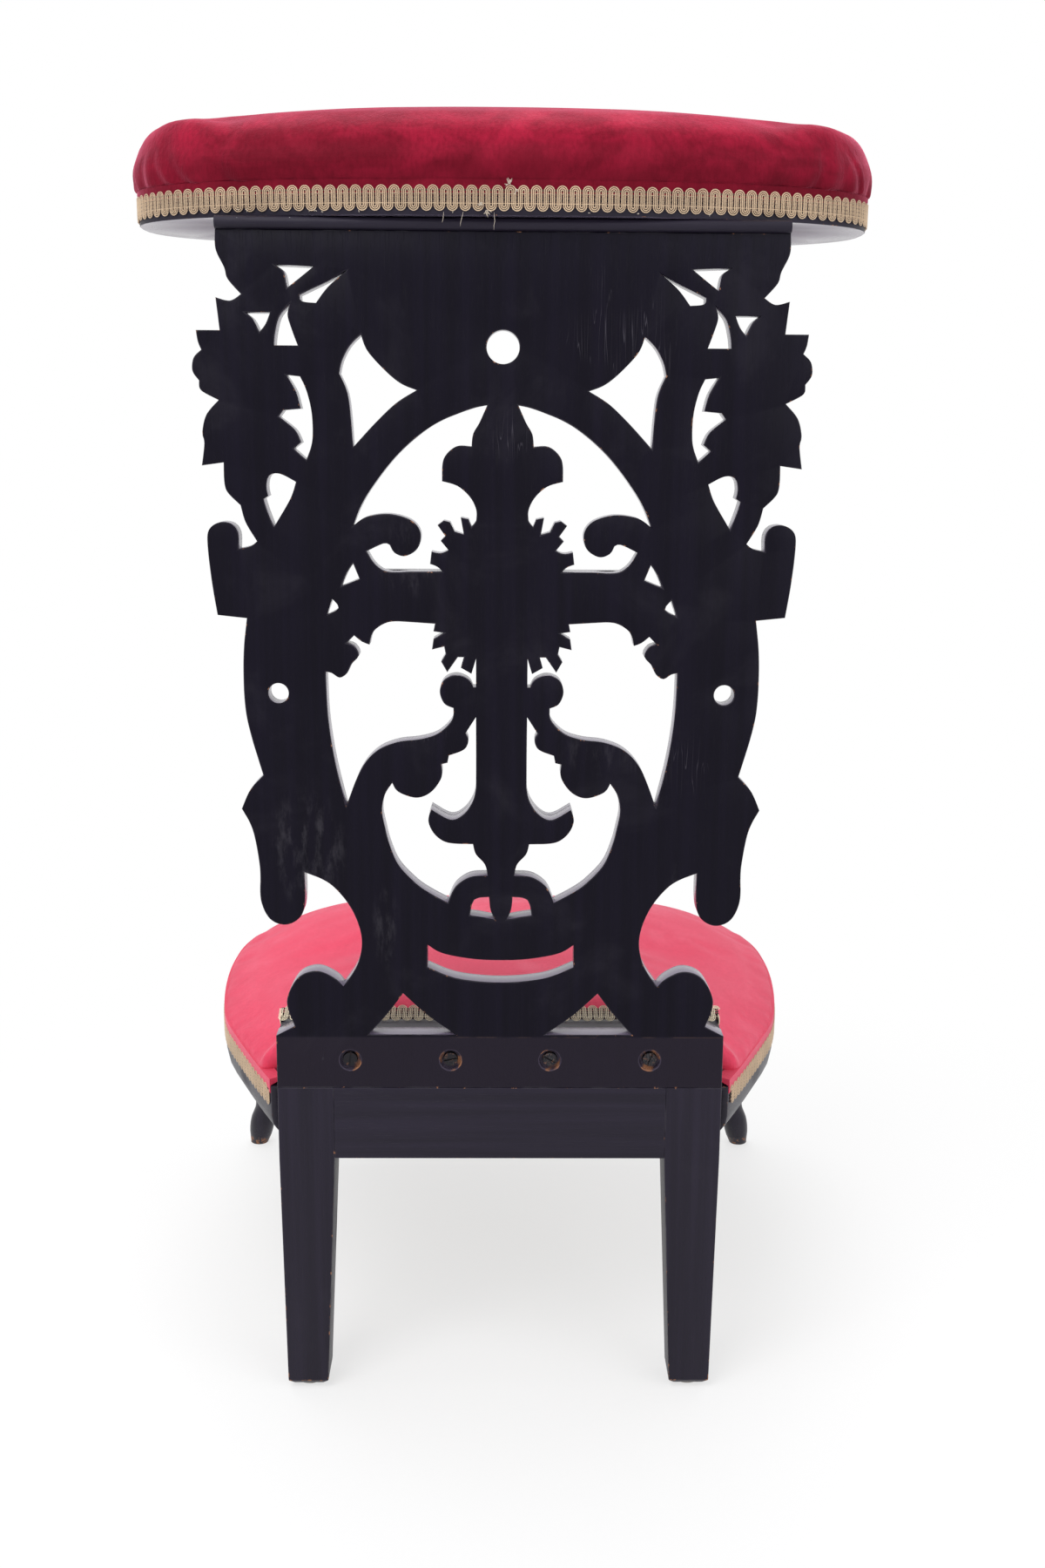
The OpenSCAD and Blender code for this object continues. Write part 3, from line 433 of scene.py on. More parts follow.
def raw_wood(name, base):
    """Pale beech, end grain and all."""
    made, tree = material(name)
    at = tree.place()
    grain = tree.noise(tree.stretched(at, (700.0, 60.0, 60.0)), 1.0, 4.0, 0.6)
    shade = tree.tint(tree.step(grain, 0.35, 0.7), base, tuple(v * 0.55 for v in base[:3]) + (1.0,))
    tree.shade({"Base Color": shade, "Roughness": 0.6 + grain * 0.2,
                "Normal": tree.bump(grain, 0.0001, 0.6)})
    return made


# Meshes taken from the frame


def welded(node):
    """A CAD node's mesh with its loose triangles joined."""
    bm = bmesh.new()
    bm.from_mesh(frame["nodes"][node].data)
    bmesh.ops.remove_doubles(bm, verts=bm.verts, dist=WELD)
    bm.normal_update()
    return bm


def plane_loops(bm, axis, level):
    """Closed outlines of the faces that lie across an axis at one level."""
    flat = set(f for f in bm.faces if all(abs(v.co[axis] - level) < 5 * WELD for v in f.verts))
    follow = {}
    for face in flat:
        for corner in face.loops:
            others = [f for f in corner.edge.link_faces if f is not face]
            if not others or others[0] not in flat:
                follow[corner.vert] = corner.link_loop_next.vert
    loops = []
    while follow:
        start = next(iter(follow))
        loop, vert = [], start
        while vert in follow:
            loop.append(vert.co.copy())
            vert = follow.pop(vert)
        if len(loop) > 2:
            loops.append(loop)
    return loops


def without_straights(loop, closed=True):
    """Drops points that lie on a straight line between their neighbours."""
    n = len(loop)
    kept = []
    for i, p in enumerate(loop):
        if not closed and i in (0, n - 1):
            kept.append(p)
            continue
        a, b = (p - loop[i - 1]), (loop[(i + 1) % n] - p)
        if a.length > 1e-7 and b.length > 1e-7 and a.angle(b) > math.radians(0.4):
            kept.append(p)
    return kept


def rounded(loop, corner=34.0, step=0.0016, closed=True):
    """An outline with its gentle bends made smooth and its sharp corners kept."""
    n = len(loop)
    bends = [math.degrees((loop[i] - loop[i - 1]).angle(loop[(i + 1) % n] - loop[i])) for i in range(n)]
    if not closed:
        bends[0] = bends[-1] = 180.0
    made = []
    for i in range(n if closed else n - 1):
        j = (i + 1) % n
        b, c = loop[i], loop[j]
        made.append(b)
        if bends[i] > corner and bends[j] > corner:
            continue
        a = b if bends[i] > corner else loop[i - 1]
        d = c if bends[j] > corner else loop[(j + 1) % n]
        span = (c - b).length
        before = (b - a).length or span
        after = (d - c).length or span
        lead = (c - a) / (span + before) * span if before > 1e-9 else c - b
        trail = (d - b) / (span + after) * span if after > 1e-9 else c - b
        if a is b:
            lead = (c - b) * 1.5 - trail * 0.5
        if d is c:
            trail = (c - b) * 1.5 - lead * 0.5
        parts = max(1, round(span / step))
        for k in range(1, parts):
            t = k / parts
            made.append((2 * t**3 - 3 * t**2 + 1) * b + (t**3 - 2 * t**2 + t) * lead
                        + (3 * t**2 - 2 * t**3) * c + (t**3 - t**2) * trail)
    if not closed:
        made.append(loop[-1])
    return made


def area_of(loop):
    """Signed area of an outline in X and Z."""
    return sum(p.x * q.z - q.x * p.z for p, q in zip(loop, loop[1:] + loop[:1])) / 2


def moved_in(loop, amount):
    """The outline shifted into the wood, which lies on its left."""
    n = len(loop)
    made = []
    for i, p in enumerate(loop):
        a = (p - loop[i - 1]).normalized()
        b = (loop[(i + 1) % n] - p).normalized()
        left = Vector((-a.z - b.z, 0.0, a.x + b.x))
        if left.length < 1e-6:
            left = Vector((-a.z, 0.0, a.x))
        left.normalize()
        reach = 1.0 / max(0.5, left.dot(Vector((-b.z, 0.0, b.x))))
        made.append(p + left * amount * reach)
    return made


def fretted(outlines, back_only, back, front, rings):
    """A pierced panel: every outline runs through it with softened edges, and the outlines in
    back_only are sunk holes, given as rings of their own."""
    bm = bmesh.new()
    edge_mark = bm.faces.layers.float.new("worn_edge")
    wall_and_reflection_mark = bm.faces.layers.float.new("sawn")
    caps = [[], []]
    for loop, steps in [(o, rings) for o in outlines] + list(back_only):
        rows = []
        for inset, y in steps:
            rows.append([bm.verts.new((p.x, y, p.z)) for p in moved_in(loop, inset)])
        for r, (low, high) in enumerate(zip(rows, rows[1:])):
            n = len(low)
            for i in range(n):
                j = (i + 1) % n
                face = bm.faces.new((low[i], low[j], high[j], high[i]))
                eased = abs(steps[r][0] - steps[r + 1][0]) > 1e-7
                through = steps is rings
                face[edge_mark] = 1.0 if eased and through else 0.0
                # walls through the panel take the painted lavender reflection in full, the sunk holes' walls a quarter
                # of it
                face[wall_and_reflection_mark] = (0.0 if eased else 1.0) if through else 0.25
        for cap, row in ((0, rows[0]), (1, rows[-1])):
            n = len(row)
            caps[cap] += [bm.edges.get((row[i], row[(i + 1) % n])) for i in range(n)]
    for cap in (0, 1):
        bmesh.ops.triangle_fill(bm, use_beauty=True, use_dissolve=False, edges=caps[cap],
                                normal=(0.0, 1.0 if cap == 0 else -1.0, 0.0))
    bmesh.ops.recalc_face_normals(bm, faces=bm.faces)
    return bm


def eased_rings(back, front, ease, steps=2):
    """Insets and levels from the back face, round its edge, down the wall and to the front."""
    turn = [math.radians(90.0 * k / steps) for k in range(steps + 1)]
    first = [(ease * (1 - math.sin(a)), back - ease * (1 - math.cos(a))) for a in turn]
    last = [(inset, front + (back - y)) for inset, y in reversed(first)]
    return first + last


def finished(name, bm, finish, angle=30.0):
    """Makes a piece from a mesh, smooth except along its sharp edges."""
    mesh = bpy.data.meshes.new(name)
    bm.to_mesh(mesh)
    bm.free()
    mesh.materials.append(finish)
    mesh.shade_smooth()
    if angle is not None:
        mesh.set_sharp_from_angle(angle=math.radians(angle))
    piece = bpy.data.objects.new(name, mesh)
    bpy.context.scene.collection.objects.link(piece)
    return piece


def settle(piece, slot, *nodes):
    """Seats a piece on the chair and hides the CAD nodes that it stands for."""
    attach(piece, "root")
    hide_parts(*nodes)


def eased_wood(name, node, finish, ease, polished_and_painted_reflection_below=False, shortest=0.0035):
    """A CAD node with its long edges softened and marked as worn."""
    bm = welded(node)
    bmesh.ops.dissolve_limit(bm, angle_limit=math.radians(0.6), verts=bm.verts, edges=bm.edges)
    edge_mark = bm.faces.layers.float.new("worn_edge")
    bm.faces.layers.float.new("sawn")
    keen = [e for e in bm.edges if len(e.link_faces) == 2 and e.calc_length() > shortest
            and e.calc_face_angle(0.0) > math.radians(36)]
    made = bmesh.ops.bevel(bm, geom=keen, offset=ease, segments=2, profile=0.62,
                           affect="EDGES", clamp_overlap=True)
    for face in made["faces"]:
        face[edge_mark] = 1.0
    for face in bm.faces:
        # the board's underside is marked like the cut walls, so it gets their coat and their painted lavender
        # reflection
        if polished_and_painted_reflection_below and face.normal.z < -0.9:
            face[bm.faces.layers.float["sawn"]] = 1.0
    bmesh.ops.triangulate(bm, faces=[f for f in bm.faces if len(f.verts) > 4])
    piece = finished(name, bm, finish, 28.0)
    settle(piece, "black_wood", node)
    return piece


# Cloth


def remeshed(piece, grid):
    """Turns a closed mesh into even facets."""
    modifier = piece.modifiers.new("grid", "REMESH")
    modifier.mode = "VOXEL"
    modifier.voxel_size = grid
    applied(piece, modifier.name)


def applied(piece, name):
    bpy.context.view_layer.objects.active = piece
    bpy.ops.object.modifier_apply(modifier=name)


def points_of(piece):
    flat = np.zeros(len(piece.data.vertices) * 3)
    piece.data.vertices.foreach_get("co", flat)
    return flat.reshape(-1, 3)


def put_points(piece, points):
    piece.data.vertices.foreach_set("co", np.asarray(points, float).ravel())
    piece.data.update()


def shrunk(piece, amount):
    """Pulls a closed skin in along its normals."""
    points = points_of(piece)
    normals = np.zeros(points.size)
    piece.data.vertices.foreach_get("normal", normals)
    put_points(piece, points - normals.reshape(-1, 3) * amount)


def stuffed(piece, held, cap, frames=20):
    """Blows up a closed cover with cloth simulation. Held gives each point's hold from 0 to 1,
    and no point moves more than cap."""
    start = points_of(piece).copy()
    group = piece.vertex_groups.new(name="tacked")
    for index in np.nonzero(held > 0)[0]:
        group.add([int(index)], float(held[index]), "REPLACE")
    cloth = piece.modifiers.new("stuffing", "CLOTH")
    settings = cloth.settings
    settings.quality = 5
    settings.mass = 0.3
    settings.tension_stiffness = settings.compression_stiffness = 12
    settings.shear_stiffness = 6
    settings.bending_stiffness = 0.6
    settings.use_pressure = True
    settings.uniform_pressure_force = 4
    settings.vertex_group_mass = "tacked"
    settings.effector_weights.gravity = 0
    cloth.point_cache.frame_start = 1
    cloth.point_cache.frame_end = frames
    scene = bpy.context.scene
    for number in range(1, frames + 1):
        scene.frame_set(number)
    blown = piece.evaluated_get(bpy.context.evaluated_depsgraph_get())
    flat = np.zeros(start.size)
    blown.data.vertices.foreach_get("co", flat)
    push = flat.reshape(-1, 3) - start
    reach = np.linalg.norm(push, axis=1, keepdims=True)
    push *= np.minimum(1.0, cap / np.maximum(reach, 1e-9))
    piece.modifiers.remove(cloth)
    piece.vertex_groups.remove(group)
    put_points(piece, start + push)
    scene.frame_set(1)


def softened(piece, rounds):
    modifier = piece.modifiers.new("soft", "SMOOTH")
    modifier.factor = 0.5
    modifier.iterations = rounds
    applied(piece, modifier.name)


def doubled(piece):
    modifier = piece.modifiers.new("fine", "SUBSURF")
    modifier.levels = modifier.render_levels = 1
    applied(piece, modifier.name)


def filled_out(piece, rim, outs, low, reach, start, finish, depth):
    """Brings a cushion's lower edge out over the wood's edge, so that it meets the braid. It
    goes from start beyond the edge at the bottom to finish at the reach's height."""
    points = points_of(piece)
    lowest = points[:, 2].min()
    points[:, 2] -= (lowest - low) * np.clip(1.0 - (points[:, 2] - lowest) / reach, 0.0, 1.0)
    near = np.nonzero(points[:, 2] < low + reach * 1.8)[0]
    edge = np.array([(p.x, p.y) for p in rim])
    way = np.array([(v.x, v.y) for v in outs])
    for index in near:
        gap = points[index, :2] - edge
        place = int(np.argmin((gap ** 2).sum(axis=1)))
        off = float(gap[place] @ way[place])
        share = min(1.0, max(0.0, (points[index, 2] - low) / reach))
        wanted = start + (finish - start) * share
        if off > wanted or off < -depth:
            continue
        fade = min(1.0, max(0.0, 1.8 - (points[index, 2] - low) / reach))
        pull = (wanted - off) * min(1.0, (off + depth) / (depth * 0.8)) * fade
        points[index, :2] += way[place] * pull
    put_points(piece, points)


def laid_on(piece, node, gap):
    """Keeps a cushion's underside above the cloth that carries it."""
    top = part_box(node)[1].z
    bm = welded(node)
    loop = plane_loops(bm, 2, top)[0]
    bm.free()
    points = points_of(piece)
    over = np.zeros(len(points), bool)
    for a, b in zip(loop, loop[1:] + loop[:1]):
        if abs(a.y - b.y) < 1e-9:
            continue
        passes = (points[:, 1] > min(a.y, b.y)) & (points[:, 1] <= max(a.y, b.y))
        over ^= passes & (a.x + (points[:, 1] - a.y) / (b.y - a.y) * (b.x - a.x) > points[:, 0])
    points[:, 2] = np.where(over, np.maximum(points[:, 2], top + gap), points[:, 2])
    put_points(piece, points)


def cloth_piece(name, node, finish):
    bm = welded(node)
    return finished(name, bm, finish, None)


# Braid

BRAID_SOCKETS = (("Loop pitch", "loop_pitch"), ("Cord width", "cord_width"),
                 ("Cord spacing", "cord_spacing"))
SCREW_SOCKETS = (("Head radius", "screw_radius"), ("Head height", "screw_height"),
                 ("Slot width", "slot_width"), ("Shank radius", "shank_radius"))


def node_group(name, numbers, finishes):
    """An empty Geometry Nodes tree with named inputs for its sizes and materials."""
    group = bpy.data.node_groups.new(name, "GeometryNodeTree")
    face = group.interface
    face.new_socket("Geometry", in_out="INPUT", socket_type="NodeSocketGeometry")
    for label in numbers:
        face.new_socket(label, in_out="INPUT", socket_type="NodeSocketFloat")
    for label in finishes:
        face.new_socket(label, in_out="INPUT", socket_type="NodeSocketMaterial")
    face.new_socket("Geometry", in_out="OUTPUT", socket_type="NodeSocketGeometry")
    tree = Tree(group)
    return group, tree, tree.node("NodeGroupInput")


def grown(name, mesh, group, values):
    """The plain mesh that a node tree makes from a mesh, with its inputs set by name."""
    holder = bpy.data.objects.new(name, mesh)
    bpy.context.scene.collection.objects.link(holder)
    modifier = holder.modifiers.new("nodes", "NODES")
    modifier.node_group = group
    keys = {s.name: s.identifier for s in group.interface.items_tree if s.in_out == "INPUT"}
    for label, value in values.items():
        modifier[keys[label]] = value
    view = bpy.context.evaluated_depsgraph_get()
    made = bpy.data.meshes.new_from_object(holder.evaluated_get(view))
    holder.modifiers.remove(modifier)
    bpy.data.objects.remove(holder)
    if not made.polygons:
        raise RuntimeError(name + " came out empty")
    return made


def piece_from(name, meshes):
    """One piece from several meshes that share their materials."""
    mesh = meshes[0]
    for extra in meshes[1:]:
        bm = bmesh.new()
        bm.from_mesh(mesh)
        bm.from_mesh(extra)
        bm.to_mesh(mesh)
        bm.free()
    mesh.name = name
    piece = bpy.data.objects.new(name, mesh)
    bpy.context.scene.collection.objects.link(piece)
    return piece


def braid_tree():
    """Nodes that lay a flat braid of looped cords along a path. The path's points carry the
    way across the band and the way out from what it is glued to."""
    group, t, start = node_group("scroll braid", ("Loop pitch", "Band width", "Cord width",
                                                  "Cord spacing", "Inset"), ("Cords", "Ground"))
    pitch, width = start.other("Loop pitch"), start.other("Band width")
    cord, spacing, inset = start.other("Cord width"), start.other("Cord spacing"), start.other("Inset")
    path = t.node("GeometryNodeMeshToCurve", None, {"Mesh": start})
    reach = t.node("GeometryNodeCurveLength", None, {"Curve": path})
    loops = t.maths("ROUND", (reach - 2.0 * inset) / pitch)
    real_pitch = (reach - 2.0 * inset) / loops
    radius = real_pitch / 4.0
    rise = width / 2.0 - radius - spacing - cord / 2.0
    fields = [t.node("GeometryNodeInputNamedAttribute", {"data_type": "FLOAT_VECTOR"}, {"Name": field})
              for field in ("across", "outwards")]
    index = t.node("GeometryNodeInputIndex")
    steps = 22.0
    turn = index / steps
    whole = t.maths("FLOOR", turn + 0.0001)
    part = turn - whole
    over = t.maths("MULTIPLY", part, 1.0 / 0.4, clamp=True)
    down = t.maths("MULTIPLY", part - 0.4, 1.0 / 0.1, clamp=True)
    under = t.maths("MULTIPLY", part - 0.5, 1.0 / 0.4, clamp=True)
    back_up = t.maths("MULTIPLY", part - 0.9, 1.0 / 0.1, clamp=True)
    strands = []
    for side in (-1.0, 0.0, 1.0):
        big, small = radius + spacing * side, radius - spacing * side
        along = (real_pitch * (whole + 0.25) - big * t.maths("COSINE", over * math.pi)
                 + small * (1.0 - t.maths("COSINE", under * math.pi)))
        up = (rise - 2.0 * rise * down + 2.0 * rise * back_up
              + big * t.maths("SINE", over * math.pi) - small * t.maths("SINE", under * math.pi))
        strands.append((loops * steps + 1.0, along, up, cord * (0.95 + 0.12 * side), cord, "Cords"))
    for height, out, thick, finish in ((-0.30, 0.3, 1.9, "Ground"), (-0.15, 0.3, 1.9, "Ground"),
                                       (0.0, 0.3, 1.9, "Ground"), (0.15, 0.3, 1.9, "Ground"),
                                       (0.30, 0.3, 1.9, "Ground"), (-0.20, 0.85, 0.62, "Cords"),
                                       (0.17, 0.72, 0.5, "Cords")):
        weave = t.maths("SINE", index * math.pi * 0.5) * cord * 0.25
        strands.append((loops * 4.0 + 1.0, index * real_pitch / 4.0, width * height,
                        cord * out + (weave if finish == "Cords" else 0.0), cord * thick, finish))
    joined = t.node("GeometryNodeJoinGeometry")
    open_path = t.maths("GREATER_THAN", inset, 0.00001)
    for count, along, up, out, thick, finish in strands:
        line = t.node("GeometryNodeMeshLine", None, {"Count": count, "Offset": (0.0, 0.0, 0.0)})
        where = (t.maths("FLOORED_MODULO", along, reach) * (1.0 - open_path)
                 + (inset + along) * open_path)
        point, normal = [t.node("GeometryNodeSampleCurve", {"data_type": "FLOAT_VECTOR", "mode": "LENGTH"},
                                {"Curves": path, "Value": field, "Length": where}) for field in fields]
        place = t.vector("ADD", point.other("Position"), t.vector("SCALE", point, scale=up))
        place = t.vector("ADD", place, t.vector("SCALE", normal, scale=out))
        placed = t.node("GeometryNodeSetPosition", None, {"Geometry": line, "Position": place})
        strand = t.node("GeometryNodeMeshToCurve", None, {"Mesh": placed})
        measure = t.node("GeometryNodeSplineParameter", out="Length")
        strand = t.node("GeometryNodeStoreNamedAttribute", {"data_type": "FLOAT", "domain": "POINT"},
                        {"Geometry": strand, "Name": "along", "Value": measure})
        ring = t.node("GeometryNodeCurvePrimitiveCircle", {"mode": "RADIUS"},
                      {"Resolution": 6, "Radius": thick * 0.5})
        ring_turn = t.node("GeometryNodeSplineParameter", out="Factor")
        ring = t.node("GeometryNodeStoreNamedAttribute", {"data_type": "FLOAT", "domain": "POINT"},
                      {"Geometry": ring, "Name": "around", "Value": ring_turn})
        tube = t.node("GeometryNodeCurveToMesh", None,
                      {"Curve": strand, "Profile Curve": ring, "Fill Caps": True})
        tube = t.node("GeometryNodeSetMaterial", None, {"Geometry": tube, "Material": start.other(finish)})
        group.links.new(tube.socket, joined.socket.node.inputs[0])
    real = t.node("GeometryNodeRealizeInstances", None, {"Geometry": joined})
    smooth = t.node("GeometryNodeSetShadeSmooth", None, {"Geometry": real})
    t.node("NodeGroupOutput", None, {"Geometry": smooth})
    return group


def screw_tree():
    """Nodes that stand a slotted screw on each point, turned as the point's spin says."""
    group, t, start = node_group("slotted screws", [label for label, _ in SCREW_SOCKETS] + ["Length"],
                                 ("Finish",))
    radius, height = start.other("Head radius"), start.other("Head height")
    slot, shank, reach = start.other("Slot width"), start.other("Shank radius"), start.other("Length")

    def raised(made, z):
        lift = t.node("ShaderNodeCombineXYZ", None, {"Z": z})
        return t.node("GeometryNodeTransform", None, {"Geometry": made, "Translation": lift})

    head = t.node("GeometryNodeMeshCone", None, {"Vertices": 36, "Radius Top": radius - slot * 0.35,
                                                 "Radius Bottom": radius, "Depth": height})
    bar = t.node("ShaderNodeCombineXYZ", None, {"X": radius * 3.0, "Y": slot, "Z": slot * 2.0})
    notch = raised(t.node("GeometryNodeMeshCube", None, {"Size": bar}), height)
    head = t.node("GeometryNodeMeshBoolean", {"operation": "DIFFERENCE"}, {"Mesh 1": head, "Mesh 2": notch})
    straight = reach - shank * 2.0
    stem = raised(t.node("GeometryNodeMeshCylinder", None, {"Vertices": 16, "Radius": shank, "Depth": straight}),
                  straight * -0.5)
    tip = raised(t.node("GeometryNodeMeshCone", None, {"Vertices": 16, "Radius Top": shank, "Radius Bottom": 0.0,
                                                       "Depth": shank * 2.0}), 0.0 - reach)
    joined = t.node("GeometryNodeJoinGeometry")
    for part in (head, stem, tip):
        group.links.new(part.socket, joined.socket.node.inputs[0])
    spin = t.node("GeometryNodeInputNamedAttribute", {"data_type": "FLOAT_VECTOR"}, {"Name": "spin"})
    placed = t.node("GeometryNodeInstanceOnPoints", None, {"Points": start, "Instance": joined, "Rotation": spin})
    real = t.node("GeometryNodeRealizeInstances", None, {"Geometry": placed})
    painted = t.node("GeometryNodeSetMaterial", None, {"Geometry": real, "Material": start.other("Finish")})
    t.node("NodeGroupOutput", None, {"Geometry": painted})
    return group


def screws(name, node, seats, facing, turns, reach, finish):
    """Slotted screws whose heads' undersides stand on their seats."""
    mesh = bpy.data.meshes.new(name + "_seats")
    mesh.from_pydata([tuple(p) for p in seats], [], [])
    spins = [facing.to_track_quat("Z", "Y") @ Quaternion((0, 0, 1), math.radians(turn)) for turn in turns]
    mesh.attributes.new("spin", "FLOAT_VECTOR", "POINT").data.foreach_set(
        "vector", [angle for spin in spins for angle in spin.to_euler()])
    group = bpy.data.node_groups.get("slotted screws") or screw_tree()
    values = {label: getattr(sizes(), field) for label, field in SCREW_SOCKETS}
    made = grown(name, mesh, group, {**values, "Length": reach, "Finish": finish})
    made.shade_smooth()
    made.set_sharp_from_angle(angle=math.radians(30))
    settle(piece_from(name, [made]), "dark_steel", node)


def braid_piece(name, runs, width, inset, nodes, cords="gimp cords"):
    """Lays braid along one or more runs of (points, across, outwards, closed)."""
    group = bpy.data.node_groups.get("scroll braid") or braid_tree()
    parts = []
    for number, (points, across, outwards, closed) in enumerate(runs):
        mesh = bpy.data.meshes.new(f"{name}_path_{number}")
        line = list(points) + ([points[0]] if closed else [])
        mesh.from_pydata([tuple(p) for p in line], [(i, i + 1) for i in range(len(line) - 1)], [])
        for field, values in (("across", across), ("outwards", outwards)):
            rows = list(values) + ([values[0]] if closed else [])
            mesh.attributes.new(field, "FLOAT_VECTOR", "POINT").data.foreach_set(
                "vector", [c for v in rows for c in v])
        values = {label: getattr(sizes(), field) for label, field in BRAID_SOCKETS}
        parts.append(grown(f"{name}_run_{number}", mesh, group, {
            **values, "Band width": width, "Inset": 0.0 if closed else inset,
            "Cords": bpy.data.materials[cords], "Ground": bpy.data.materials["gimp ground"]}))
    settle(piece_from(name, parts), "gimp_braid", *nodes)


def threads(name, finish, strands, thick):
    """Loose ends of thread, each a thin crooked tube through a few points."""
    bm = bmesh.new()
    for strand in strands:
        rows = []
        for i, p in enumerate(strand):
            along = (strand[min(i + 1, len(strand) - 1)] - strand[max(i - 1, 0)]).normalized()
            side = along.orthogonal().normalized()
            lift = along.cross(side)
            slim = thick * (0.35 if i in (0, len(strand) - 1) else 1.0)
            rows.append([bm.verts.new(p + (side * math.cos(a) + lift * math.sin(a)) * slim)
                         for a in (math.tau * k / 5 for k in range(5))])
        for low, high in zip(rows, rows[1:]):
            for i in range(5):
                bm.faces.new((low[i], low[(i + 1) % 5], high[(i + 1) % 5], high[i]))
        bm.faces.new(rows[0][::-1])
        bm.faces.new(rows[-1])
    bmesh.ops.recalc_face_normals(bm, faces=bm.faces)
    piece = finished(name, bm, finish, None)
    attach(piece, "root")


def tuft(chance, root, way, spread, count, reach):
    """A burst of short crooked threads."""
    made = []
    for _ in range(count):
        aim = (way + Vector([chance.uniform(-spread, spread) for _ in range(3)])).normalized()
        step = reach * chance.uniform(0.5, 1.0) / 3
        strand = [root + Vector([chance.uniform(-1, 1) for _ in range(3)]) * reach * 0.18]
        for _ in range(3):
            aim = (aim + Vector([chance.uniform(-0.45, 0.45) for _ in range(3)])).normalized()
            strand.append(strand[-1] + aim * step)
        made.append(strand)
    return made


def turned_down(name, line, outs, closed, section, finish):
    """The edge of a cover, turned down behind the braid. The section's points are (out, height)."""
    bm = bmesh.new()
    rows = [[bm.verts.new((p.x + v.x * out, p.y + v.y * out, z)) for out, z in section]
            for p, v in zip(line, outs)]
    n = len(section)
    pairs = list(zip(rows, rows[1:])) + ([(rows[-1], rows[0])] if closed else [])
    for one, two in pairs:
        for i in range(n):
            bm.faces.new((one[i], two[i], two[(i + 1) % n], one[(i + 1) % n]))
    if not closed:
        bm.faces.new(rows[0])
        bm.faces.new(rows[-1][::-1])
    bmesh.ops.recalc_face_normals(bm, faces=bm.faces)
    piece = finished(name, bm, finish, 50.0)
    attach(piece, "root")


def turned(bm, profile, x, y, count=44):
    """Turns a profile of (radius, height) about an upright line."""
    rows = []
    for radius, z in profile:
        ring = count if radius > WELD else 1
        rows.append([bm.verts.new((x + radius * math.cos(math.tau * k / count),
                                   y + radius * math.sin(math.tau * k / count), z)) for k in range(ring)])
    for low, high in zip(rows, rows[1:]):
        for i in range(count):
            j = (i + 1) % count
            corners = (low[i % len(low)], low[j % len(low)], high[j % len(high)], high[i % len(high)])
            bm.faces.new(list(dict.fromkeys(corners)))


def sway(x, y, middle, half):
    """How far webbing and hessian hang and wave at one place: the same for every layer."""
    clear = (max(0.0, 1.0 - ((x - middle.x) / half.x) ** 2)
             * max(0.0, 1.0 - ((y - middle.y) / half.y) ** 2))
    wave = noise.noise(Vector((x * 34.0, y * 34.0, 0.5))) + 0.5 * noise.noise(Vector((x * 90.0, y * 90.0, 3.0)))
    return clear * (wave * sizes().cloth_sway - sizes().cloth_sag)


def laid_cloth(name, node, finish, slot, grid):
    """A flat CAD cloth cut into small facets and hung a little, both faces alike."""
    bm = welded(node)
    low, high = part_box(node)
    for axis in (0, 1):
        for place in np.arange(low[axis] + grid * 0.5, high[axis], grid):
            at, way = Vector(), Vector()
            at[axis], way[axis] = place, 1.0
            bmesh.ops.bisect_plane(bm, geom=bm.verts[:] + bm.edges[:] + bm.faces[:], dist=1e-6,
                                   plane_co=at, plane_no=way)
    low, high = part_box("webbing_cross")
    middle, half = (low + high) / 2, (high - low) / 2
    half.x *= 0.9
    for vert in bm.verts:
        vert.co.z += sway(vert.co.x, vert.co.y, middle, half)
    piece = finished(name, bm, finish, 50.0)
    settle(piece, slot, node)


def ways_out(points, closed):
    """The level direction that points away from the middle, at each point of a path."""
    n = len(points)
    made = []
    for i, p in enumerate(points):
        a = points[i - 1] if closed or i else p
        b = points[(i + 1) % n] if closed or i < n - 1 else p
        along = (b - a).normalized()
        made.append(Vector((along.y, -along.x, 0.0)))
    middle = sum(points, Vector()) / n
    if sum(v.dot(p - middle) for v, p in zip(made, points)) < 0:
        made = [-v for v in made]
    return made


BRAID_THICKNESS = 0.0023


def armrest_rim(inwards):
    """The armrest braid's outline, moved in towards the board."""
    low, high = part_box("armrest_gimp")
    bm = welded("armrest_gimp")
    loops = plane_loops(bm, 2, high.z)
    bm.free()
    rim = max(loops, key=lambda p: max(q.x for q in p))
    rim = rounded(without_straights(rim), 60.0, 0.004)
    middle = (low.z + high.z) / 2
    return [Vector((p.x, p.y, middle)) - v * inwards for p, v in zip(rim, ways_out(rim, True))]


def seat_rim(inwards):
    """The seat braid's outline from one end of the batten round to the other."""
    low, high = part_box("seat_gimp")
    bm = welded("seat_gimp")
    loop = plane_loops(bm, 2, high.z)[0]
    bm.free()
    ends = sorted(range(len(loop)), key=lambda i: -loop[i].y)[:4]
    outer = [i for i in ends if abs(loop[i].x) == max(abs(loop[j].x) for j in ends if loop[j].x * loop[i].x > 0)]
    a, b = sorted(outer)
    runs = (loop[a:b + 1], loop[b:] + loop[:a + 1])
    run = max(runs, key=lambda p: max(q.x for q in p) - min(q.y for q in p))
    run = rounded(without_straights(run, False), 60.0, 0.004, False)
    middle = (low.z + high.z) / 2
    return [Vector((p.x, p.y, middle)) - v * inwards for p, v in zip(run, ways_out(run, False))]


# Operators, one for each piece or group of like pieces


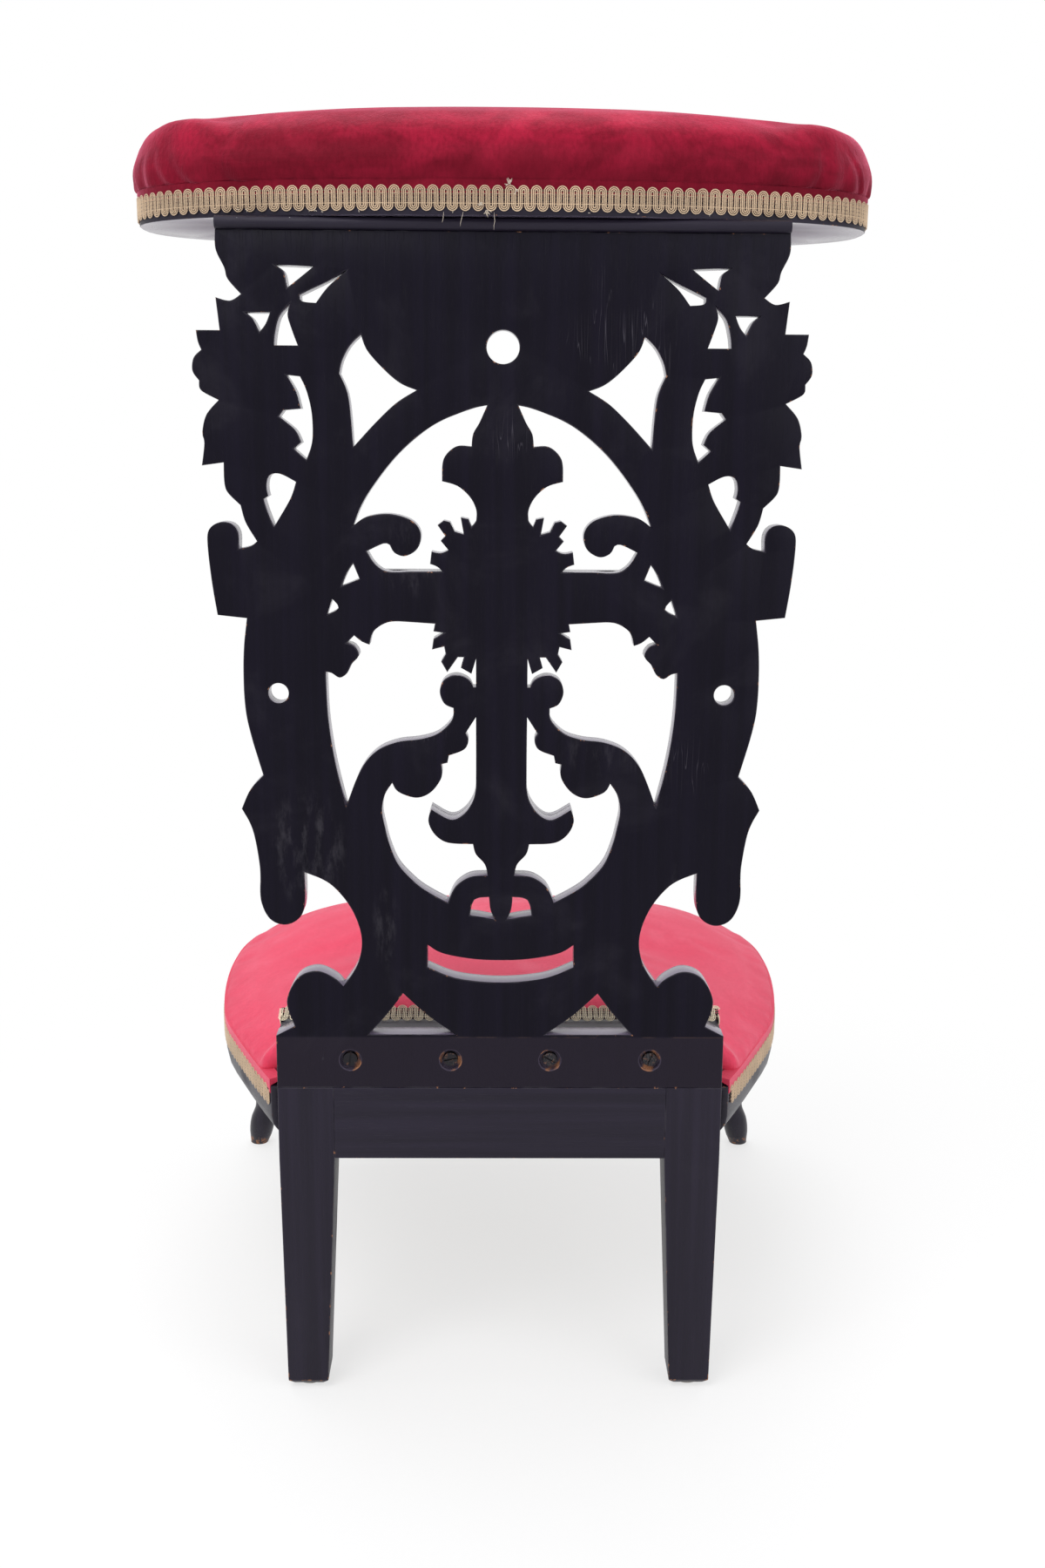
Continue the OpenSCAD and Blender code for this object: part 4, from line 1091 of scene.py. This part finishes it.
class CHAIR_OT_fret_panel(bpy.types.Operator):
    """The pierced back panel with its holes and sunk screw holes, and the cross on its front"""
    bl_idname = "chair.fret_panel"
    bl_label = "Fret panel and cross"

    def execute(self, context):
        finish = black_wood("fret black", paint("fret_black"), "z", 0.33, panel=True, level=0.10)
        bm = welded("fret_back")
        loops = sorted(plane_loops(bm, 1, BACK_Y), key=lambda p: -abs(area_of(p)))
        bm.free()
        outlines, sunk = [], []
        sunk_radius, shank_radius, sunk_depth = 0.0073, 0.00255, 0.004
        for number, loop in enumerate(loops):
            loop = without_straights(loop)
            middle = sum(loop, Vector()) / len(loop)
            widths = [(p - middle).length for p in loop]
            if max(widths) - min(widths) < 1e-4 and abs(max(widths) - sunk_radius) < 2e-4:
                sunk.append(middle)
                continue
            if (area_of(loop) > 0) != (number == 0):
                loop.reverse()
            outlines.append(rounded(loop))
        if len(outlines) < 10 or len(sunk) != 4:
            raise RuntimeError("the fret panel's outlines weren't found")
        holes = []
        for centre in sunk:
            turns = [math.tau * k / 40 for k in range(40)]
            ragged = random.Random(round(centre.x * 1e4))
            loop = [centre + Vector((math.cos(-a), 0, math.sin(-a))) * sunk_radius * (1 + ragged.uniform(-0.012, 0.02))
                    for a in turns]
            drop = sunk_radius - shank_radius
            holes.append((loop, [(0.0007, BACK_Y), (0.0001, BACK_Y - 0.0005), (0.0, BACK_Y - sunk_depth + 0.0003),
                                 (-0.0003, BACK_Y - sunk_depth), (-drop, BACK_Y - sunk_depth), (-drop, FRONT_Y)]))
        rings = eased_rings(BACK_Y, FRONT_Y, sizes().panel_easing)
        panel = finished("fret_panel", fretted(outlines, holes, BACK_Y, FRONT_Y, rings), finish, 26.0)
        settle(panel, "black_wood", "fret_back")

        low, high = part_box("front_cross")
        bm = welded("front_cross")
        loops = sorted(plane_loops(bm, 1, low.y), key=lambda p: -abs(area_of(p)))
        bm.free()
        outlines = []
        for number, loop in enumerate(loops):
            loop = without_straights(loop)
            if (area_of(loop) > 0) != (number == 0):
                loop.reverse()
            outlines.append(rounded(loop))
        ease = sizes().cross_easing
        rings = [(0.0, high.y), (0.0, low.y + ease)] + \
            [(ease * (1 - math.cos(a)), low.y + ease * (1 - math.sin(a)))
             for a in (math.radians(30), math.radians(60), math.radians(90))]
        cross = finished("front_cross_piece", fretted(outlines, [], high.y, low.y, rings), finish, 26.0)
        settle(cross, "black_wood", "front_cross")
        return {"FINISHED"}


class CHAIR_OT_rear_frame(bpy.types.Operator):
    """The rear legs, the rail between them and the batten behind the seat"""
    bl_idname = "chair.rear_frame"
    bl_label = "Rear legs, rail and batten"

    def execute(self, context):
        upright = black_wood("leg black", paint("frame_black"), "z", 0.36, level=0.2)
        level = black_wood("rail black", paint("frame_black"), "x", 0.36, level=0.2)
        ease = sizes().frame_easing
        for node in ("rear_leg_left", "rear_leg_right"):
            eased_wood(node + "_piece", node, upright, ease)
        eased_wood("rear_rail_piece", "rear_rail", level, ease * 0.7)
        split_top = black_wood("batten black", paint("frame_black"), "x", 0.3, level=0.5, batten=True)
        eased_wood("rear_batten_piece", "rear_batten", split_top, ease * 0.7)
        return {"FINISHED"}


class CHAIR_OT_seat_rails(bpy.types.Operator):
    """The two side rails and the curved front rail"""
    bl_idname = "chair.seat_rails"
    bl_label = "Seat rails"

    def execute(self, context):
        along = {"seat_rail_left": "y", "seat_rail_right": "y", "front_rail": "x"}
        for node, way in along.items():
            finish = black_wood("seat rail black " + way, paint("frame_black"), way, 0.3, level=0.3)
            eased_wood(node + "_piece", node, finish, sizes().frame_easing)
        return {"FINISHED"}


class CHAIR_OT_front_legs(bpy.types.Operator):
    """The two short turned legs under the front rail"""
    bl_idname = "chair.front_legs"
    bl_label = "Turned front legs"

    def execute(self, context):
        finish = black_wood("turned black", paint("frame_black"), "z", 0.28, level=0.3)
        for node in ("front_leg_left", "front_leg_right"):
            bm = welded(node)
            edge_mark = bm.faces.layers.float.new("worn_edge")
            bm.faces.layers.float.new("sawn")
            for face in bm.faces:
                if abs(face.normal.z) < 0.85 and face.calc_center_median().z < 0.008:
                    face[edge_mark] = 1.0
            piece = finished(node + "_piece", bm, finish, 40.0)
            settle(piece, "black_wood", node)
        return {"FINISHED"}


class CHAIR_OT_armrest_board(bpy.types.Operator):
    """The armrest's board and the cleat that carries it on the panel"""
    bl_idname = "chair.armrest_board"
    bl_label = "Armrest board and cleat"

    def execute(self, context):
        finish = black_wood("board black", paint("frame_black"), "x", 0.38, level=0.2)
        eased_wood("armrest_board_piece", "armrest_board", finish, sizes().frame_easing * 0.8, True)
        eased_wood("armrest_cleat_piece", "armrest_cleat", finish, sizes().frame_easing * 0.5)
        return {"FINISHED"}


class CHAIR_OT_fixings(bpy.types.Operator):
    """Screws, dowels and the rear legs' glides"""
    bl_idname = "chair.fixings"
    bl_label = "Screws, dowels and glides"

    def execute(self, context):
        rust = (0.12, 0.04, 0.015, 1.0)
        blackened = steel("blackened steel", paint("steel"), rust, 0.35)
        wide = sizes().screw_radius
        low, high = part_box("back_screws")
        base = high.y - sizes().screw_height
        screws("back_screws_piece", "back_screws",
               [Vector((x, base, z)) for x, z in sorted(SCREW_SPOTS, reverse=True)], Vector((0, 1, 0)),
               (82, 12, -28, 65), base - low.y, blackened)
        low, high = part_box("cleat_screws")
        base = low.z + sizes().screw_height
        reach = high.x - wide
        screws("cleat_screws_piece", "cleat_screws",
               [Vector((reach * share, (low.y + high.y) / 2, base)) for share in (-1.0, -0.346, 0.346, 1.0)],
               Vector((0, 0, -1)), (80, 35, 10, 90), high.z - base, blackened)

        low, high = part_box("leg_glides")
        glide_radius, pin_radius = (high.y - low.y) / 2, 0.0015
        thick = 0.0025
        profile = [(0.0, low.z), (glide_radius * 0.74, low.z), (glide_radius * 0.93, low.z + thick * 0.16),
                   (glide_radius, low.z + thick * 0.5), (glide_radius * 0.985, low.z + thick * 0.86),
                   (glide_radius * 0.93, low.z + thick), (pin_radius, low.z + thick), (pin_radius, high.z), (0.0, high.z)]
        bm = bmesh.new()
        for side in (-1, 1):
            turned(bm, profile, side * (high.x - glide_radius), (low.y + high.y) / 2)
        bmesh.ops.recalc_face_normals(bm, faces=bm.faces)
        glides = finished("leg_glides_piece", bm, steel("dull steel", paint("glide"), rust, 0.42), 35.0)
        settle(glides, "glide_steel", "leg_glides")
        for place in frame["nodes"]["dowels"].material_slots:
            place.material = raw_wood("beech", paint("beech"))
        return {"FINISHED"}


class CHAIR_OT_webbing(bpy.types.Operator):
    """Webbing straps and the hessian over them, seen from below"""
    bl_idname = "chair.webbing"
    bl_label = "Webbing and hessian"

    def execute(self, context):
        jute = woven("jute webbing", paint("jute"), 1500.0, 0.0006)
        coarse = woven("coarse hessian", paint("hessian"), 2300.0, 0.0004)
        laid_cloth("webbing_long_straps", "webbing_long", jute, "webbing", 0.009)
        laid_cloth("webbing_cross_straps", "webbing_cross", jute, "webbing", 0.009)
        laid_cloth("hessian_sheet", "hessian", coarse, "hessian_cloth", 0.010)
        return {"FINISHED"}


class CHAIR_OT_armrest_cushion(bpy.types.Operator):
    """The armrest's stuffed velvet, tucked at its rounded ends"""
    bl_idname = "chair.armrest_cushion"
    bl_label = "Armrest cushion"

    def execute(self, context):
        finish = velvet("armrest velvet", paint("velvet"), (0.68, 0.016, 0.070, 1.0), 0.6, 0.80,
                        (0.832, 0.876, 0.66), clouds=0.36, shine=0.08, glow=(1.0, 0.24, 0.38, 1.0))
        piece = cloth_piece("armrest_velvet", "armrest_cushion", finish)
        low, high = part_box("armrest_cushion")
        remeshed(piece, sizes().cloth_grid)
        shrunk(piece, 0.0012)
        points = points_of(piece)
        held = np.clip((low.z + 0.010 - points[:, 2]) / 0.006, 0.0, 1.0)
        stuffed(piece, held, sizes().armrest_swell)
        softened(piece, 3)
        edge = armrest_rim(BRAID_THICKNESS)
        filled_out(piece, edge, ways_out(edge, True), low.z - 0.0006, 0.012, 0.0014, 0.0034, 0.012)
        full_ends(piece, edge, ways_out(edge, True))
        doubled(piece)
        tucked(piece, low, high)
        settle(piece, "arm_velvet", "armrest_cushion")
        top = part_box("armrest_board")[1].z
        section = [(0.00005, top - 0.0085), (0.0007, top - 0.0083), (0.0009, top - 0.002), (0.0010, top + 0.0012),
                   (-0.006, top + 0.0020), (-0.006, top + 0.0005), (0.00005, top + 0.0004)]
        turned_down("armrest_velvet_edge", edge, ways_out(edge, True), True, section, finish)
        return {"FINISHED"}


def full_ends(piece, rim, outs):
    """Packs the armrest's rounded ends, which stand up almost square before they turn over."""
    points = points_of(piece)
    edge = np.array([(p.x, p.y) for p in rim])
    way = np.array([(v.x, v.y) for v in outs])
    middle = (points[:, 2].min() + points[:, 2].max()) / 2
    tall = points[:, 2].max() - middle
    reach, packed, slack, width = edge[:, 0].max(), 0.0075, 0.008, 0.013
    for index in np.nonzero(np.abs(points[:, 0]) > reach * 0.68)[0]:
        gap = points[index, :2] - edge
        place = int(np.argmin((gap ** 2).sum(axis=1)))
        off = float(gap[place] @ way[place])
        end = min(1.0, (abs(points[index, 0]) / reach - 0.68) / 0.2)
        end = end * end * (3 - 2 * end)
        upper = min(1.0, max(0.0, (points[index, 2] - middle) / tall + 0.7))
        share = math.exp(-(((off + slack) / width) ** 2)) * end * upper
        points[index, 2] += packed * share
        points[index, :2] += way[place] * packed * 0.25 * share
    put_points(piece, points)


def tucked(piece, low, high):
    """Small folds that run up from the braid at the armrest's rounded ends."""
    points = points_of(piece)
    normals = np.zeros(points.size)
    piece.data.vertices.foreach_get("normal", normals)
    normals = normals.reshape(-1, 3)
    middle = (np.array(low) + np.array(high)) / 2
    turn = np.arctan2((points[:, 1] - middle[1]) / (high.y - middle[1]),
                      (points[:, 0] - middle[0]) / (high.x - middle[0]))
    height = (points[:, 2] - low.z) / (high.z - low.z)
    chance = random.Random(7)
    push = np.zeros(len(points))
    for end in (0.0, math.pi):
        for k in range(13):
            at = end + (k - 6) * 0.135 + chance.uniform(-0.03, 0.03)
            lean = chance.uniform(-0.25, 0.25)
            wide = chance.uniform(0.022, 0.042)
            tall = chance.uniform(0.35, 0.75)
            deep = chance.uniform(0.0010, 0.0026)
            off = (turn - at - lean * height + math.pi) % math.tau - math.pi
            fade = np.clip(1.0 - height / tall, 0.0, 1.0) ** 1.3
            push -= deep * np.exp(-((off / wide) ** 2)) * fade
            push += deep * 0.6 * np.exp(-(((off - wide * 1.5) / (wide * 0.9)) ** 2)) * fade
    side = np.clip(1.0 - np.abs(normals[:, 2]) ** 3, 0.0, 1.0)
    put_points(piece, points + normals * (push * side)[:, None])


class CHAIR_OT_seat_cushion(bpy.types.Operator):
    """The seat's stuffed velvet, which is knelt on"""
    bl_idname = "chair.seat_cushion"
    bl_label = "Seat cushion"

    def execute(self, context):
        # painted light: the seat's velvet has lighter, pinker tones than the armrest's because of the strong light
        # falling on it
        finish = velvet("seat velvet", paint("seat_velvet"), (0.90, 0.085, 0.17, 1.0), 0.5, 0.6,
                        (0.214, 0.240, 0.2), nap=0.4, clouds=0.3)
        piece = cloth_piece("seat_velvet", "seat_cushion", finish)
        low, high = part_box("seat_cushion")
        remeshed(piece, sizes().cloth_grid * 1.2)
        shrunk(piece, 0.0012)
        points = points_of(piece)
        held = np.clip((low.z + 0.010 - points[:, 2]) / 0.007, 0.0, 1.0)
        stuffed(piece, held, sizes().seat_swell)
        softened(piece, 5)
        edge = seat_rim(BRAID_THICKNESS)
        filled_out(piece, edge, ways_out(edge, False), low.z - 0.0006, 0.016, 0.0012, 0.0016, 0.018)
        doubled(piece)
        laid_on(piece, "hessian", 0.0003)
        settle(piece, "seat_cloth", "seat_cushion")
        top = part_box("front_rail")[1].z
        section = [(0.00005, top - 0.0055), (0.0007, top - 0.0053), (0.0009, top - 0.001), (0.0008, top + 0.0052),
                   (-0.008, top + 0.0062), (-0.008, top + 0.0036), (0.00005, top + 0.0004)]
        turned_down("seat_velvet_edge", edge, ways_out(edge, False), False, section, finish)
        return {"FINISHED"}


class CHAIR_OT_braids(bpy.types.Operator):
    """Gimp braid round the armrest, round the seat and over the batten"""
    bl_idname = "chair.braids"
    bl_label = "Gimp braids"

    def execute(self, context):
        braid_thread("gimp cords", paint("braid"), paint("braid_ground"))
        braid_thread("faded gimp cords", paint("braid_paler"), paint("braid"))
        braid_thread("gimp ground", paint("braid_ground"), (0.03, 0.015, 0.01, 1.0))
        low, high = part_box("armrest_gimp")
        rim = armrest_rim(BRAID_THICKNESS * 0.87)
        up = [Vector((0, 0, 1))] * len(rim)
        braid_piece("armrest_braid", [(rim, up, ways_out(rim, True), True)], high.z - low.z, 0.0, ["armrest_gimp"])
        self.frayed(low, high)

        low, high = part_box("seat_gimp")
        run = seat_rim(BRAID_THICKNESS * 0.87)
        up = [Vector((0, 0, 1))] * len(run)
        braid_piece("seat_braid", [(run, up, ways_out(run, False), False)], high.z - low.z, 0.003, ["seat_gimp"])

        low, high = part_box("rear_gimp")
        slope = math.radians(25)
        width = (high.y - low.y) / (math.cos(slope) + 0.002 / 0.0155 * math.sin(slope))
        across = Vector((0, -math.cos(slope), math.sin(slope)))
        lift = Vector((0, math.sin(slope), math.cos(slope)))
        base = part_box("rear_batten")[1].z + 0.0003
        centre = Vector((0, low.y + width * math.cos(slope), base)) + across * width / 2
        half = high.x
        runs = [([centre + Vector((x, 0, 0)) for x in np.linspace(-half, half, 60)],
                 [across] * 60, [lift] * 60, False)]
        for side in (-1, 1):
            x = side * (half - 0.002)
            drop = [Vector((x, centre.y, z)) for z in np.linspace(low.z, centre.z, 12)]
            runs.append((drop, [Vector((0, -1, 0))] * 12, [Vector((side, 0, 0))] * 12, False))
        braid_piece("rear_braid", runs, width, 0.001, ["rear_gimp"], "faded gimp cords")
        return {"FINISHED"}

    def frayed(self, low, high):
        """Where the armrest braid's two ends meet behind, with threads that hang below it."""
        made, tree = material("loose thread")
        fuzz = tree.noise(tree.place(), 2200.0, 2.0)
        pale = paint("loose_thread")
        tree.shade({"Base Color": tree.tint(fuzz, pale, tuple(v * 0.6 for v in pale[:3]) + (1.0,)),
                    "Roughness": 0.6 + fuzz * 0.3, "Sheen Weight": 0.3,
                    "Normal": tree.bump(fuzz, 0.00005, 0.5)})
        chance = random.Random(31)
        back = high.y
        ends = []
        for x, z, up in ((-0.0035, high.z + 0.0005, 1.0), (0.0105, low.z + 0.0002, -1.0)):
            ends += tuft(chance, Vector((x, back - 0.0008, z)), Vector((0, 0.35, up)), 0.8, 15, 0.0042)
            ends += tuft(chance, Vector((x - 0.004 * up, back - 0.0004, z - up * 0.003)), Vector((0, 0.3, -up)), 0.7, 8, 0.0035)
        threads("braid_frayed_ends", made, ends, 0.00022)
        below = []
        for x, drop in ((0.0250, 0.0085), (0.0370, 0.0065), (0.0060, 0.0105)):
            line = [Vector((x, back - 0.0009, low.z - 0.0005))]
            for k in range(1, 5):
                line.append(line[-1] + Vector((chance.uniform(-0.0006, 0.0006), chance.uniform(-0.0002, 0.0004), -drop / 4)))
            below.append(line)
        for x in (0.163, 0.158, 0.119, 0.116, 0.112, 0.089, 0.031, -0.052, -0.083, -0.127, -0.151):
            below += tuft(chance, Vector((x, back - 0.0012, low.z - 0.0004)), Vector((0, 0.1, -0.6)), 1.0, 3, 0.0016)
        threads("braid_loose_threads", made, below, 0.00013)


class CHAIR_OT_stage(bpy.types.Operator):
    """Pale floor, soft studio light and the camera"""
    bl_idname = "chair.stage"
    bl_label = "Stage"

    def execute(self, context):
        scene = context.scene
        scene.view_settings.view_transform = "Standard"
        bm = bmesh.new()
        bmesh.ops.create_grid(bm, x_segments=2, y_segments=2, size=14.0)
        made, tree = material("pale floor")
        at = tree.node("ShaderNodeSeparateXYZ", None, {0: tree.place()})
        away = tree.maths("SQRT", at * at + at.other("Y") * at.other("Y"))
        grain = tree.noise(tree.place(), 260.0, 3.0)
        pale = tree.tint(grain, (0.90, 0.90, 0.91, 1.0), (0.94, 0.94, 0.945, 1.0))
        matt = tree.node("ShaderNodeBsdfDiffuse", None, {"Color": pale})
        white = tree.node("ShaderNodeEmission", None, {"Color": (1, 1, 1, 1), "Strength": 1.0})
        path = tree.node("ShaderNodeLightPath")
        seen = tree.maths("MAXIMUM", path, tree.maths("MAXIMUM", path.other("Is Glossy Ray"),
                                                      path.other("Is Transmission Ray")))
        share = (0.64 + 0.36 * tree.step(away, 0.22, 0.80)) * seen
        mixed = tree.node("ShaderNodeMixShader", None, {0: share, 1: matt, 2: white})
        below = tree.node("ShaderNodeNewGeometry", out="Backfacing")
        clear = tree.node("ShaderNodeBsdfTransparent")
        mixed = tree.node("ShaderNodeMixShader", None, {0: below, 1: mixed, 2: clear})
        tree.node("ShaderNodeOutputMaterial", None, {"Surface": mixed})
        floor = finished("floor", bm, made, None)

        world = bpy.data.worlds.new("studio")
        scene.world = world
        world.use_nodes = True
        world.node_tree.nodes.clear()
        tree = Tree(world.node_tree)
        path = tree.node("ShaderNodeLightPath")
        seen = tree.maths("MAXIMUM", path, tree.maths("MAXIMUM", path.other("Is Glossy Ray"),
                                                      path.other("Is Transmission Ray")))
        sky = tree.node("ShaderNodeBackground", None, {"Color": (1, 1, 1, 1), "Strength": 0.62})
        plain = tree.node("ShaderNodeBackground", None, {"Color": (1, 1, 1, 1), "Strength": 1.0})
        mixed = tree.node("ShaderNodeMixShader", None, {0: seen, 1: sky, 2: plain})
        tree.node("ShaderNodeOutputWorld", None, {"Surface": mixed})

        self.lamp("key", (0.9, 1.5, 2.1), (0.0, 0.1, 0.6), 1.3, 26.0)
        self.lamp("fill", (-1.2, 1.4, 1.2), (0.0, 0.1, 0.5), 1.4, 9.0)
        self.lamp("over", (0.2, -0.4, 2.6), (0.0, 0.0, 0.5), 1.5, 24.0)

        eye = bpy.data.cameras.new("camera")
        eye.lens = 38.0
        eye.sensor_width = 36.0
        eye.clip_end = 50.0
        camera = bpy.data.objects.new("camera", eye)
        scene.collection.objects.link(camera)
        camera.location = (0.00139, BACK_Y + 1.0829, 0.68528)
        look = Vector((-0.014070, -0.977080, -0.212408))
        tilt = Quaternion((0, 0, 1), math.radians(0.4))
        camera.rotation_euler = (look.to_track_quat("-Z", "Y") @ tilt).to_euler()
        scene.camera = camera
        return {"FINISHED"}

    def lamp(self, name, place, target, size, power):
        light = bpy.data.lights.new(name, "AREA")
        light.shape = "SQUARE"
        light.size = size
        light.energy = power
        holder = bpy.data.objects.new(name, light)
        bpy.context.scene.collection.objects.link(holder)
        holder.location = place
        holder.rotation_euler = (Vector(target) - Vector(place)).to_track_quat("-Z", "Y").to_euler()


STEPS = (CHAIR_OT_fret_panel, CHAIR_OT_rear_frame, CHAIR_OT_seat_rails, CHAIR_OT_front_legs,
         CHAIR_OT_armrest_board, CHAIR_OT_fixings, CHAIR_OT_webbing, CHAIR_OT_seat_cushion,
         CHAIR_OT_armrest_cushion, CHAIR_OT_braids, CHAIR_OT_stage)


class CHAIR_PT_panel(bpy.types.Panel):
    """Lists the chair's pieces in the sidebar"""
    bl_idname = "CHAIR_PT_panel"
    bl_label = "Prie-dieu chair"
    bl_space_type = "VIEW_3D"
    bl_region_type = "UI"
    bl_category = "Prie-dieu"

    def draw(self, context):
        for step in STEPS:
            self.layout.operator(step.bl_idname)
        for group in (context.scene.chair_sizes, context.scene.chair_colours):
            box = self.layout.box()
            for name in group.bl_rna.properties.keys():
                if name not in ("rna_type", "name"):
                    box.prop(group, name)


CLASSES = (ChairSizes, ChairColours, *STEPS, CHAIR_PT_panel)


def register():
    for cls in CLASSES:
        bpy.utils.register_class(cls)
    bpy.types.Scene.chair_sizes = bpy.props.PointerProperty(type=ChairSizes)
    bpy.types.Scene.chair_colours = bpy.props.PointerProperty(type=ChairColours)


def unregister():
    del bpy.types.Scene.chair_colours
    del bpy.types.Scene.chair_sizes
    for cls in reversed(CLASSES):
        bpy.utils.unregister_class(cls)


def main():
    register()
    for step in STEPS:
        group, name = step.bl_idname.split(".")
        getattr(getattr(bpy.ops, group), name)()


if __name__ == "__main__":
    main()
